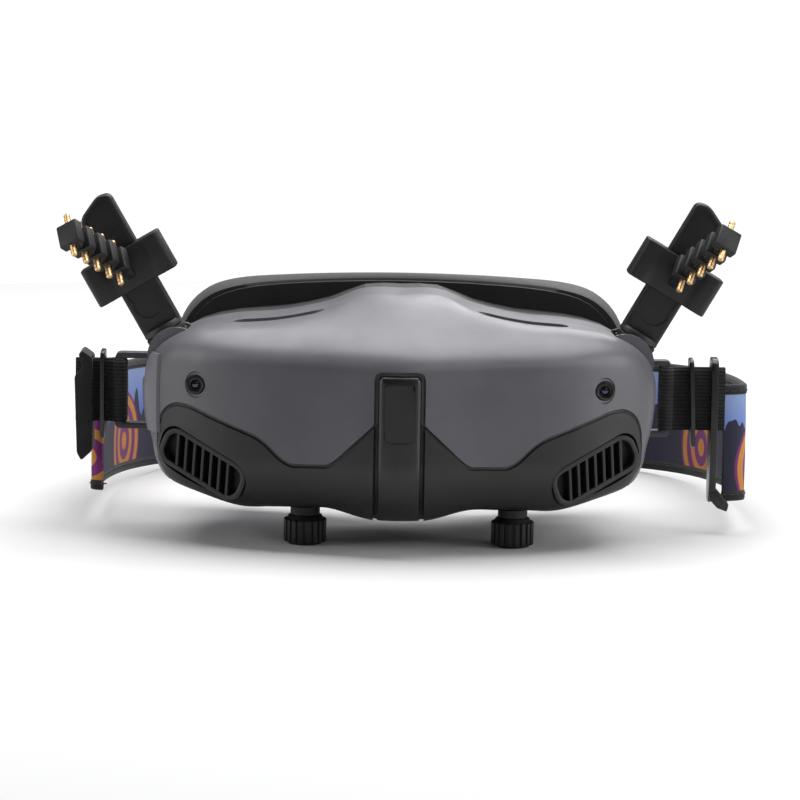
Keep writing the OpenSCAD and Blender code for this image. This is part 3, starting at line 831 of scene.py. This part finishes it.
PORT_AT = (58.8, -47.8, -19.6)
PORT_TURN, PORT_SLANT = 26, -25
PORT_WIDE, PORT_HIGH, PORT_CORNER = 31, 12.4, 5


def port_place(side):
    return (on_side(side) @ shift(*PORT_AT) @ turn(PORT_TURN, "Z") @ turn(PORT_SLANT, "Y"))


def port_cutter(side):
    """The exhaust recess: straight at the back, then walls that slope out to a wider mouth."""
    rows = []
    for depth, wider in ((14, 0), (0.5, 0), (-3.2, 1.3), (-5.0, 2.4), (-12, 7)):
        rows.append([(x, depth, z) for x, z in stadium(PORT_WIDE + wider, PORT_HIGH + wider,
                                                       PORT_CORNER + wider / 2)])
    return moved(grid_mesh(rows, (0, rows[0][0][1], 0), (0, rows[-1][0][1], 0)),
                 port_place(side))


INTAKE_AT, KNOB_SLOT_AT = (37.2, -37), (32.25, -42)


def slot_cutter(side):
    """The air intake: a long hole with round ends in the housing's top edge."""
    return moved(prism(stadium(27.5, 8, 3.9, INTAKE_AT), 15, 40), on_side(side))


def tube_along(axis, radius, low, high, place=(0, 0, 0), steps=40):
    bar = lathe([(0, low), (radius, low), (radius, high), (0, high)], steps)
    way = turn(90, "Y") if axis == "X" else turn(-90, "X")
    return moved(bar, shift(*place) @ way)


CAMERA_X, CAMERA_Z = 61.8, 5
PIVOT = (68.5, -28, 11.6)
NOTCH_R, NOTCH_HALF = 8.9, 8.4
BUTTON_Y, BACK_BUTTON_R, LINK_BUTTON_R = -25, 3.2, 2.7
CAMERA_HOLE_R = 3.05
BRACKET_IN, BRACKET_LOW, BRACKET_HIGH = 74.6, -14, 10


def trim_cutters(groove):
    """What shell and fascia both lose: the nose's place, its moat and the seam between them."""
    return [prism_y(nose_outline(0.05), -95, -50), nose_moat(),
            joined(seam_groove(-1, groove), seam_groove(1, groove))]


def shell():
    cutters = [fascia_prism(0.12), behind_split(), body_form(WALL),
               tube_along("X", BACK_BUTTON_R, -85, -65, (0, BUTTON_Y, 0)),
               tube_along("X", LINK_BUTTON_R, 65, 85, (0, BUTTON_Y, 0))]
    for side in (-1, 1):
        face = shift(side * CAMERA_X, front_y(CAMERA_X, CAMERA_Z), CAMERA_Z)
        dish = lathe([(0, -1.5), (5.2, -1.5), (3.7, 0.45), (0, 0.45)], 56)
        cutters += [slot_cutter(side),
                    moved(dish, face @ turn(side * 31, "Z") @ turn(-90, "X")),
                    tube_along("Y", CAMERA_HOLE_R, -60, -36, (side * CAMERA_X, 0, CAMERA_Z)),
                    tube_along("Y", NOTCH_R, -NOTCH_HALF, NOTCH_HALF,
                               (side * PIVOT[0], PIVOT[1], PIVOT[2])),
                    moved(block((BRACKET_IN, -17, BRACKET_LOW - 0.5),
                                (90, -11, BRACKET_HIGH + 0.5)), on_side(side))]
    return carved(body_form(0), *cutters, *trim_cutters(0.75))


def fascia():
    nose, moat, groove = trim_cutters(0.5)
    cutters = [body_form(WALL), nose, moat, behind_split()]
    for side in (-1, 1):
        cutters += [port_cutter(side),
                    moved(prism(stadium(13.7, 5.2, 2.5, KNOB_SLOT_AT), -40, -20), on_side(side))]
    return carved(body_form(0), *cutters, groove, keep=fascia_prism(0))


piece("front_shell_skin", shell(), SHELL, "shell", "front_shell", smooth=38)
piece("lower_fascia_skin", fascia(), FASCIA, "fascia", "lower_fascia", smooth=38)


# ---- nose trim ----

PANE_CORNER = 1.1


def nose_trim():
    """The raised trim down the nose, with a chamfer all round and a hole for its window."""
    steps = 26
    rows = []
    for inset, lift in ((0, 3.2), (0, -0.2), (0.45, -0.85), (1.3, -1.2), (3.4, -1.25),
                        (6.2, -1.25)):
        half = max(0.02, NOSE_HALF - inset)
        top, low = NOSE_TOP - min(inset, 5), NOSE_LOW
        corner = max(0.01, 1.6 - inset * 0.6)
        ring = [Vector((half, low + (top - corner - low) * k / steps)) for k in range(steps)]
        for k in range(7):
            angle = math.radians(90 * k / 6)
            ring.append(Vector((half - corner + corner * math.cos(angle),
                                top - corner + corner * math.sin(angle))))
        ring += [Vector((-p.x, p.y)) for p in reversed(ring)]
        rows.append([Vector((p.x, front_y(p.x, p.y) + lift, p.y)) for p in ring])
    bm = grid_mesh(rows)
    verts, count = list(bm.verts), len(rows[0])
    for i in range(count // 2 - 1):
        for line in (verts[-count:], verts[:count]):
            bm.faces.new((line[i], line[i + 1], line[count - 2 - i], line[count - 1 - i]))
    bmesh.ops.remove_doubles(bm, verts=bm.verts, dist=0.03)
    bmesh.ops.recalc_face_normals(bm, faces=bm.faces)
    hole = prism_y(rounded_loop(rectangle(4.55, 8.65), PANE_CORNER), -90, -71.7)
    rim = prism_y(rounded_loop(rectangle(5.0, 9.1), 1.4), -90, -72.95)
    return carved(bm, hole, rim)


def nose_pane():
    return softened(prism_y(rounded_loop(rectangle(4.5, 8.6), PANE_CORNER), -72.9, -71.6), 0.18)


piece("nose_trim", nose_trim(), BEZEL, "bezel", "nose_bezel", smooth=40)
piece("nose_window_pane", nose_pane(), PANE, "pane", "nose_window")


# ---- cameras, intakes and exhausts ----

def camera_ring():
    return lathe([(0, 8.6), (3, 8.6), (3, 0.5), (2.75, 0.1), (2.4, 0), (2.1, 0.25), (1.95, 0.9),
                  (1.5, 1.0), (1.35, 1.5), (0, 1.5)], 48)


def camera_glass():
    return lathe([(0, 0.8), (0.5, 0.83), (0.95, 0.95), (1.3, 1.2), (1.3, 1.6), (0, 1.6)], 40)


def mesh_tile():
    """One cell of perforated sheet: a square with a round hole through it."""
    half, radius, thick = 0.79, 0.5, 0.35
    count = 12
    rows = []
    for level in (0, thick):
        ring, edge = [], []
        for k in range(count):
            angle = 2 * math.pi * (k + 0.5) / count
            x, y = math.cos(angle), math.sin(angle)
            reach = half / max(abs(x), abs(y))
            ring.append((radius * x, radius * y, level))
            edge.append((reach * x, reach * y, level))
        rows.append((edge, ring))
    return grid_mesh([rows[0][0], rows[0][1], rows[1][1], rows[1][0]])


def intake(side):
    """A perforated sheet in rows of cells, in a thin frame."""
    pitch, across, deep = 1.58, 18, 5
    x, y = INTAKE_AT
    tiles = grown(ROWS, mesh_tile(), MESH, Across=across, Up=deep, Step=(pitch, 0, 0),
                  Rise=(0, pitch, 0),
                  Start=(x - pitch * (across - 1) / 2, y - pitch * (deep - 1) / 2, 18.3))
    rim = carved(prism(stadium(28.6, 9.4, 4.6, INTAKE_AT), 18.2, 19.0),
                 prism(stadium(26.6, 7.2, 3.5, INTAKE_AT), 17, 20))
    return moved(joined(tiles, rim), on_side(side))


SLAT_PITCH = 3.15
SLATS = 7


def port_plate(less, corner, low, high):
    """A plate that fills the exhaust's outline but for a margin."""
    return moved(prism(stadium(PORT_WIDE - less[0], PORT_HIGH - less[1], corner), low, high),
                 UPRIGHT)


def grille(side):
    slat = softened(block((-0.5, -1.9, -5.6), (0.5, 1.6, 5.6)), 0.28, 2)
    moved(slat, turn(-PORT_SLANT - 4, "Y"))
    slats = grown(ROWS, slat, GRILLE, Across=SLATS, Up=1, Step=(SLAT_PITCH, 0, 0),
                  Rise=(0, 0, 1), Start=(-SLAT_PITCH * (SLATS - 1) / 2, 0, 0))
    slats = carved(slats, keep=port_plate((3.2, 3.0), 3.5, -5, 5))
    rim = carved(port_plate((0.2, 0.2), PORT_CORNER - 0.1, -2, 2),
                 port_plate((3.6, 3.4), 3.3, -5, 5))
    back = port_plate((2.4, 2.4), 3.8, -2.0, -1.6)
    return moved(joined(slats, softened(rim, 0.3, 2), back), port_place(side))


for hand, side in SIDES.items():
    looks_out = shift(side * CAMERA_X, -51.9, CAMERA_Z) @ turn(-90, "X")
    piece(f"camera_{hand}_ring", moved(camera_ring(), looks_out), CAMERA_BODY, "camera",
          f"camera_{hand}")
    piece(f"camera_{hand}_glass", moved(camera_glass(), looks_out), CAMERA_GLASS, "camera")
    piece(f"intake_sheet_{hand}", intake(side), MESH, "mesh", f"intake_mesh_{hand}")
    piece(f"exhaust_slats_{hand}", grille(side), GRILLE, "grille", f"exhaust_grille_{hand}")


# ---- touch panel ----

def panel():
    """The touch panel stands a little proud of the shell: a tall part and a step above it."""
    low, high = [carved(body_form(-0.6), body_form(-0.05), keep=area)
                 for area in (block((-90, -43, -11), (-60, -31, 4.5)),
                              block((-90, -43, 4), (-60, -37.2, 13)))]
    return carved(low, more=high)


piece("touch_panel_plate", panel(), PANEL, "panel", "touch_panel", smooth=38)


# ---- face foam ----

FOAM_OUTER = [
    (0, 33), (32, 32), (53.5, 29.4), (64.5, 23.8), (70.3, 13.5), (70.3, 0), (66, -13),
    (55, -25), (40.5, -31), (25, -29.8), (15, -22), (7, -14.5), (0, -12)]
FOAM_INNER = [
    (0, 21.5), (30, 21), (46, 19.4), (54.4, 12), (56.6, 2), (54.6, -9), (46, -17.5),
    (37, -21), (27, -20), (17, -13), (8, -6.5), (0, -4.5)]
FOAM_FRONT = 2.5


def even_loop(points, count):
    """A closed curve through the points, cut into equal lengths from the top middle."""
    curve = smooth_loop(points, 12)
    lengths = [0]
    for a, b in zip(curve, curve[1:] + curve[:1]):
        lengths.append(lengths[-1] + (b - a).length)
    curve.append(curve[0])
    result, k = [], 0
    for i in range(count):
        target = lengths[-1] * i / count
        while lengths[k + 1] < target:
            k += 1
        share = (target - lengths[k]) / (lengths[k + 1] - lengths[k])
        result.append(curve[k].lerp(curve[k + 1], share))
    return result


def face_depth(x):
    """How far back the foam reaches, following a brow."""
    return 144 - math.sqrt(130 ** 2 - x * x)


def foam_section(outer, inner):
    """One section of the foam ring: walls that swell, rounded shoulders, a pulled-in base."""
    across = outer - inner
    width = across.length
    across.normalize()
    back_in, back_out = face_depth(inner.x), face_depth(outer.x)
    shoulder = min(4.4, width * 0.42)
    points = []

    def add_point(out, y):
        place = inner + across * out
        points.append(Vector((place.x, y, place.y)))

    deep = back_in - shoulder - FOAM_FRONT
    for share, swell in ((0, 0.6), (0.12, 0.0), (0.35, -0.45), (0.65, -0.55), (1, 0)):
        add_point(swell, FOAM_FRONT + deep * share)
    for k in range(1, 5):
        angle = math.radians(90 * k / 5)
        add_point(shoulder * (1 - math.cos(angle)), back_in - shoulder * (1 - math.sin(angle)))
    for k in range(6):
        share = k / 5
        crown = 0.5 * math.sin(math.pi * share)
        add_point(shoulder + (width - 2 * shoulder) * share,
                  back_in + (back_out - back_in) * share + crown - 0.3)
    for k in range(4, 0, -1):
        angle = math.radians(90 * k / 5)
        add_point(width - shoulder * (1 - math.cos(angle)),
                  back_out - shoulder * (1 - math.sin(angle)))
    deep = back_out - shoulder - FOAM_FRONT
    for share, swell in ((1, 0), (0.65, 0.6), (0.35, 0.5), (0.14, 0.1), (0.05, -0.5), (0, -0.9)):
        add_point(width + swell, FOAM_FRONT + deep * share)
    return points


def foam_rows(count=180):
    outer = even_loop(mirrored(FOAM_OUTER), count)
    inner = even_loop(mirrored(FOAM_INNER), count)
    return [foam_section(o, i) for o, i in zip(outer, inner)]


def closed_grid(rows):
    bm = grid_mesh(rows + rows[:1])
    bmesh.ops.remove_doubles(bm, verts=bm.verts, dist=WELD)
    bmesh.ops.recalc_face_normals(bm, faces=bm.faces)
    return bm


foam = piece("face_foam_pad", closed_grid(foam_rows()), FOAM, "foam", "face_foam", smooth=70)


# ---- antennas, clips and booms ----

# Stands an outline drawn in Y and Z on edge, and raises it along X
SIDEWAYS = Matrix(((0, 0, 1, 0), (1, 0, 0, 0), (0, 1, 0, 0), (0, 0, 0, 1)))
LEAN = 30
PADDLE_HALF, ANTENNA_TIP, PADDLE_THICK = 6.2, 54, 3
CLIP_AT, CLIP_HALF = 30, (13.5, 5, 6.3)
BLOCK_HALF = (3.6, 1.7, 3.8)
BOOM_TURN, BOOM_TILT = {-1: 18.5, 1: 11.2}, -38.5
SPINE_HALF, SPINE_FROM = 3, 3.1
ROD_STEP, RODS = 6, 5


def antenna_place(side):
    return on_side(side) @ shift(*PIVOT) @ turn(LEAN, "Y")


def boom_place(side):
    """Where the boom leaves the clip's front face, before it tilts up."""
    return antenna_place(side) @ shift(0, -CLIP_HALF[1], CLIP_AT) @ turn(BOOM_TURN[side], "Z")


def paddle():
    """The antenna blade: round shoulders, a slanted top and a sunk face on each side."""
    w = PADDLE_HALF
    edge = rounded_loop([(-w, 7), (w, 7), (w, ANTENNA_TIP - 4), (-w * 0.35, ANTENNA_TIP),
                         (-w, ANTENNA_TIP - 1)], 3, 7)
    blade = moved(pebble(edge, -PADDLE_THICK, PADDLE_THICK, 0.9), UPRIGHT)
    r = w - 1.5
    low = [(r * math.cos(math.radians(a)), 18 + r * math.sin(math.radians(a)))
           for a in range(180, 361, 15)]
    sunk = low + rounded_loop([(r, 20), (r, ANTENNA_TIP - 5), (-w * 0.35 + 0.1, ANTENNA_TIP - 1.6),
                               (-r, ANTENNA_TIP - 2.4), (-r, 20)], 1.8)[2:-2]
    for low_y, high_y in ((-4, -2.55), (2.55, 4)):
        blade = carved(blade, prism_y(sunk, low_y, high_y))
    return blade


def antenna(side):
    collar = lathe([(0, 3), (6.3, 3), (6.5, 3.3), (6.5, 5.8), (6.05, 6.15), (6.5, 6.5), (6.5, 7.5),
                    (6.05, 7.85), (6.45, 8.2), (6.4, 9.4), (6.0, 10.0), (0, 10.1)], 64)
    knuckle = softened(tube_along("Y", 6, -6.6, 6.6), 0.5, 2)
    return moved(joined(paddle(), collar, knuckle), antenna_place(side))


def clip(side):
    """The booster's clip: a band round the blade with a lobe on each side."""
    x, y, z = CLIP_HALF
    low = [(-x, -y), (-8.4, -y), (-6.6, -4.3), (6.6, -4.3), (8.4, -y), (x, -y)]
    edge = rounded_loop(low + [(px, -py) for px, py in reversed(low)], 4.4)
    band = prism(edge, CLIP_AT - z, CLIP_AT + z)
    gap_x, gap_y = PADDLE_HALF + 0.3, PADDLE_THICK + 0.3
    hole = prism(rounded_loop(rectangle(gap_x, gap_y), 0.8), 0, 2 * CLIP_AT)
    return moved(softened(carved(band, hole), 0.8, 3), antenna_place(side))


def boom(side):
    """A spine with square blocks that each grip a rod, and slanting ribs between them."""
    cube = softened(block([-half for half in BLOCK_HALF], BLOCK_HALF), 0.55, 3)
    blocks = grown(ROWS, cube, CLIP, Across=RODS, Up=1, Step=(0, -ROD_STEP, 0), Rise=(0, 0, 1),
                   Start=(0, -ROD_STEP, 0))
    spine = softened(block((-1.2, -30.6, -SPINE_HALF), (1.2, -SPINE_FROM, SPINE_HALF)), 0.4, 2)
    rib = softened(block((-0.7, -2.6, -0.5), (0.7, 2.6, 0.5)), 0.2, 2)
    moved(rib, turn(38, "X"))
    ribs = grown(ROWS, rib, CLIP, Across=RODS - 1, Up=2, Step=(0, -ROD_STEP, 0),
                 Rise=(0, 0, 6.2), Start=(0, -ROD_STEP * 1.5, -3.1))
    c, s = math.cos(math.radians(BOOM_TILT)), math.sin(math.radians(BOOM_TILT))
    wedge = prism([(-0.42, -3), (-0.42, 4.2), (-SPINE_FROM * c - SPINE_HALF * s - 0.6,
                                               -SPINE_FROM * s + SPINE_HALF * c - 0.2),
                   (-SPINE_FROM * c + SPINE_HALF * s, -SPINE_FROM * s - SPINE_HALF * c)],
                  -1.2, 1.2)
    moved(wedge, SIDEWAYS)
    arm = moved(joined(blocks, spine, ribs), turn(BOOM_TILT, "X"))
    return moved(joined(arm, wedge), boom_place(side))


def rod(half):
    """A turned rod with a chamfer and a fine groove near each end."""
    end = [(0, 0), (0.66, 0), (0.95, 0.3), (0.95, 1.1), (0.78, 1.2), (0.78, 1.45), (0.95, 1.55)]
    return lathe([(r, -half + h) for r, h in end] + [(r, half - h) for r, h in reversed(end)], 24)


def rods(side):
    bars = [moved(rod(8 - i * 0.15), shift(0, -i * ROD_STEP, 0)) for i in range(1, RODS + 1)]
    return moved(joined(*bars), boom_place(side) @ turn(BOOM_TILT, "X"))


for hand, side in SIDES.items():
    body = f"clip_{hand}"
    piece(f"antenna_{hand}_blade", antenna(side), ANTENNA, "antenna", f"antenna_{hand}",
          body=f"antenna_{hand}", smooth=36)
    piece(f"clip_{hand}_band", clip(side), CLIP, "antenna", f"clip_{hand}", body=body, smooth=36)
    piece(f"boom_{hand}_frame", boom(side), CLIP, "antenna", f"boom_{hand}", body=body)
    piece(f"boom_{hand}_rods", rods(side), GOLD, "gold", f"director_rods_{hand}", body=body)


# ---- focus knobs ----

KNOB_HALF, KNOB_TOP, KNOB_LOW, NECK_TOP = 6.5, -35.5, -44.5, -33
EYES = {"left": -28.4, "right": 34.9}
KNOB_Y = -42


def knob():
    low, top = KNOB_LOW, KNOB_TOP
    core = lathe([(0, low), (3.6, low), (3.9, low + 0.25), (4.3, low + 0.25), (4.6, low),
                  (5.2, low + 0.1), (5.95, low + 0.9), (5.95, top - 1.6), (5.0, top - 0.1),
                  (4.7, top), (4.5, top + 0.1), (4.5, NECK_TOP), (0, NECK_TOP)], 72)
    rib = softened(block((-0.9, -0.68, low + 0.7), (0.65, 0.68, top - 1.2)), 0.34, 3)
    ribs = grown(RING, rib, KNOB, Number=18, Radius=KNOB_HALF - 0.65)
    shaft = lathe([(0, NECK_TOP), (2, NECK_TOP), (2, -23), (2.3, -23), (2.3, -19.6), (2, -19.6),
                   (2, -17), (1.6, -16.6), (0, -16.6)], 32)
    return joined(core, ribs, shaft)


for hand, across in EYES.items():
    piece(f"focus_knob_{hand}_grip", moved(knob(), shift(across, KNOB_Y, 0)), KNOB, "knob",
          f"focus_knob_{hand}", body=f"knob_{hand}")


# ---- straps ----

BRACKET_OUT = {"left": 88.5, "right": 84}
SLIDER_X = {"left": 91.6, "right": 90}
BUCKLE_X = {"left": 95.5, "right": 96.5}
STRAP_END = {"left": 100.8, "right": 100.9}
SLIDER_LEAN = {"left": 0.0, "right": 0.037}
STRAP_Y = -14
STRAP_LOW, STRAP_HIGH = -11.8, 7.8
BAR = 2.6


def ribbon(path, section):
    """A flat band along a path in X and Y. Its section lists (out, up) points round its edge.
    U is the length along the path and V the height, both in metres."""
    rows, lengths = [], [0]
    for a, b in zip(path, path[1:]):
        lengths.append(lengths[-1] + (Vector(b) - Vector(a)).length)
    for i, point in enumerate(path):
        along = along_at(path, i)
        out = Vector((along.y, -along.x))
        rows.append([Vector((point[0] + out.x * o, point[1] + out.y * o, up))
                     for o, up in section])
    bm = bmesh.new()
    layer = bm.loops.layers.uv.new("UVMap")
    lines = [[bm.verts.new(p) for p in row] for row in rows]
    count = len(section)
    for j in range(len(rows) - 1):
        for i in range(count):
            k = (i + 1) % count
            face = bm.faces.new((lines[j][i], lines[j][k], lines[j + 1][k], lines[j + 1][i]))
            for loop, (row, column) in zip(face.loops, ((j, i), (j, k), (j + 1, k), (j + 1, i))):
                loop[layer].uv = (lengths[row] * MM, section[column][1] * MM)
    for row, line in ((0, lines[0]), (len(rows) - 1, lines[-1])):
        face = bm.faces.new(line)
        for loop, (_, up) in zip(face.loops, section):
            loop[layer].uv = (lengths[row] * MM, up * MM)
    bmesh.ops.recalc_face_normals(bm, faces=bm.faces)
    return bm, lengths[-1]


def strap_section(half, low, high, steps=6, belly=0.0):
    """A strap's section: flat sides, soft edges, and a slight belly."""
    soft = min(half, 0.5)
    side = [low + soft + (high - low - 2 * soft) * k / steps for k in range(steps + 1)]
    swell = [belly * math.sin(math.pi * k / steps) for k in range(steps + 1)]
    return ([(half - soft * 0.6, low)] + [(half + s, z) for s, z in zip(swell, side)]
            + [(half - soft * 0.6, high), (-half + soft * 0.6, high)]
            + [(-half - s, z) for s, z in zip(reversed(swell), reversed(side))]
            + [(-half + soft * 0.6, low)])


def elastic_path(hand):
    """Out of the buckle, round the bracket's bar and back."""
    out = BRACKET_OUT[hand]
    bar = (out - BAR / 2, STRAP_Y)
    end = STRAP_END[hand]
    path = [(end - (end - out - 2.2) * k / 6, STRAP_Y + 0.8) for k in range(7)]
    path += [(bar[0] + 1.9 * math.cos(math.radians(a)) + (0.6 if a < 90 else 0),
              STRAP_Y + 2.85 * math.sin(math.radians(a))) for a in range(36, 325, 18)]
    path += [(out + 2.2 + (end - out - 2.2) * k / 6, STRAP_Y - 0.8) for k in range(7)]
    return [tuple(p) for p in rounded_line(path, 0.8, 2)]


def bracket(hand):
    out = BRACKET_OUT[hand]
    low, high = BRACKET_LOW, BRACKET_HIGH
    edge = rounded_loop([(BRACKET_IN, low), (out, low), (out, high), (BRACKET_IN, high)], 2.0)
    window = rounded_loop([(77.2, low + 2), (out - BAR, low + 2), (out - BAR, high - 2),
                           (77.2, high - 2)], 1.0)
    return softened(carved(prism_y(edge, -16, -12), prism_y(window, -20, -8)), 0.5, 3)


SLOT_HALF, SLOT_ROOM = 1.8, 0.4


def strap_plate(x, thick, edge, corner, lean=0.0):
    """A plate across the strap, with a slot for it; it may lean out towards its foot."""
    y, low, high = STRAP_Y, STRAP_LOW - SLOT_ROOM, STRAP_HIGH + SLOT_ROOM
    slot = rounded_loop([(y - SLOT_HALF, low), (y + SLOT_HALF, low), (y + SLOT_HALF, high),
                         (y - SLOT_HALF, high)], 0.9)
    plate = carved(prism(rounded_loop(edge, corner), 0, thick), prism(slot, -2, thick + 2))
    plate = moved(softened(plate, 0.35, 2), shift(x, 0, 0) @ SIDEWAYS)
    bmesh.ops.triangulate(plate, faces=plate.faces)
    for vert in plate.verts:
        vert.co.x -= lean * (vert.co.z + 3)
    return plate


def slider(hand):
    return strap_plate(SLIDER_X[hand], 1.4, [(-19, -17), (-9, -17), (-9, 10.5), (-19, 10.5)],
                       2.6, SLIDER_LEAN[hand])


def buckle(hand):
    """On the left a fold of webbing round the elastic; on the right a plate with a low tab."""
    if hand == "right":
        plate = strap_plate(BUCKLE_X[hand], 2.2,
                            [(-18, -27), (-14, -35), (-6, -35), (-6, 10.5), (-18, 10.5)], 3.4)
        tab = prism_y([(96.8, -30), (98.7, -30), (103, -35), (102.4, -37.4), (99.6, -36.2),
                       (96.8, -33.5)], -16, -12)
        return joined(plate, softened(tab, 0.5, 3))
    fold = prism_y(rounded_loop([(95.5, 8.2), (98.6, 10.4), (99.8, 9.4), (98.5, 5.2), (101, 2.4),
                                 (100.2, -21.6), (98.8, -24), (95.5, -21)], 0.8), -18, -6)
    slot = block((90, STRAP_Y - SLOT_HALF, STRAP_LOW - SLOT_ROOM),
                 (104, STRAP_Y + SLOT_HALF, STRAP_HIGH + SLOT_ROOM))
    return softened(carved(fold, slot), 0.5, 3)


for hand, side in SIDES.items():
    place = on_side(side)
    frame_piece = piece(f"strap_bracket_{hand}_frame", moved(bracket(hand), place), BRACKET,
                        "bracket", f"strap_bracket_{hand}")
    strap, length = ribbon(elastic_path(hand), strap_section(0.62, STRAP_LOW, STRAP_HIGH, 14, 0.12))
    elastic = piece(f"elastic_{hand}_strap", moved(strap, place), ELASTIC, "elastic",
                    f"elastic_{hand}", smooth=50)
    piece(f"slider_{hand}_plate", moved(slider(hand), place), BUCKLE, "buckle",
          f"strap_slider_{hand}", body=f"slider_{hand}")
    piece(f"buckle_{hand}_plate", moved(buckle(hand), place), WEBBING if side < 0 else BUCKLE,
          "buckle", f"buckle_{hand}")


# ---- headband ----

BAND_FRONT, BAND_BACK, BAND_HIGH, BAND_THICK = -1, 128, 36, 2
BAND_REACH = {"left": 97, "right": 109}
BAND_CURL = {"left": 4.5, "right": 9}
BAND_PLACE = (shift(0, BAND_FRONT, -35.3) @ turn(-4, "X") @ shift(0, -BAND_FRONT, 0))


def band_side(hand, inset):
    """Half of the band seen from above: a curl at its end, then half an oval."""
    reach, curl = BAND_REACH[hand], BAND_CURL[hand]
    bend = [(reach - curl + (curl - inset) * math.cos(math.radians(a)),
             BAND_FRONT + (curl - inset) * math.sin(math.radians(a))) for a in range(-80, 0, 10)]
    oval = [((reach - inset) * math.cos(math.radians(a)) ** 0.55,
             BAND_FRONT + (BAND_BACK - BAND_FRONT - inset) * math.sin(math.radians(a)) ** 0.72)
            for a in range(0, 90, 2)]
    return bend + oval


def band_path():
    inset = BAND_THICK / 2
    left = [(-x, y) for x, y in band_side("left", inset)]
    return band_side("right", inset) + [(0, BAND_BACK - inset)] + left[::-1]


def stitch_line(path, out, up):
    """A thread path beside the band, as loose edges."""
    bm = bmesh.new()
    verts = []
    for i, point in enumerate(path):
        along = along_at(path, i)
        verts.append(bm.verts.new((point[0] + along.y * out, point[1] - along.x * out, up)))
    for a, b in zip(verts, verts[1:]):
        bm.edges.new((a, b))
    return bm


path = band_path()
cloth, length = ribbon(path, strap_section(BAND_THICK / 2 - 0.15, 0, BAND_HIGH, 12, 0.15))
band = piece("headband_cloth", moved(cloth, BAND_PLACE), BAND, "band", "rear_band", smooth=60)
edges = [ribbon(path, strap_section(BAND_THICK / 2 + 0.12, low, low + 3.2, 2))[0]
         for low in (-0.25, BAND_HIGH - 2.95)]
binding = piece("headband_binding", moved(joined(*edges), BAND_PLACE), BINDING, "band",
                smooth=60)
lines = joined(*[stitch_line(path, out, up) for out in (-1.17, 1.17)
                 for up in (1.7, BAND_HIGH - 1.7)])
threads = grown(STITCHES, lines, THREAD, Pitch=2.8, Stitch=2.0, Thread=0.42)
stitching = piece("headband_stitches", moved(threads, BAND_PLACE), THREAD, "band", smooth=80)


# ---- finishes on the frame's own pieces ----

CARRIED_OVER = (
    (REAR, "rear_frame"), (FRAME_PLASTIC, "foam_frame lens_barrel_left lens_barrel_right"),
    (BOARD, "main_board"), (ALUMINIUM, "heat_sink"),
    (STEEL, "guide_rods usb_port housing_screws hinge_pin_left hinge_pin_right"),
    (INNER, "rod_mounts fan_housing_left fan_housing_right impeller_left impeller_right"),
    (INNER, "optic_carriage_left optic_carriage_right"),
    (DISPLAY, "display_left display_right"), (LENS, "eye_lens_left eye_lens_right"),
    (PORT, "headphone_jack power_socket"), (PANE, "proximity_sensor"),
    (PANEL, "back_button link_button"), (SHELL, "antenna_socket_left antenna_socket_right"))
for finish, names in CARRIED_OVER:
    for name in names.split():
        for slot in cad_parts[name].material_slots:
            slot.material = finish
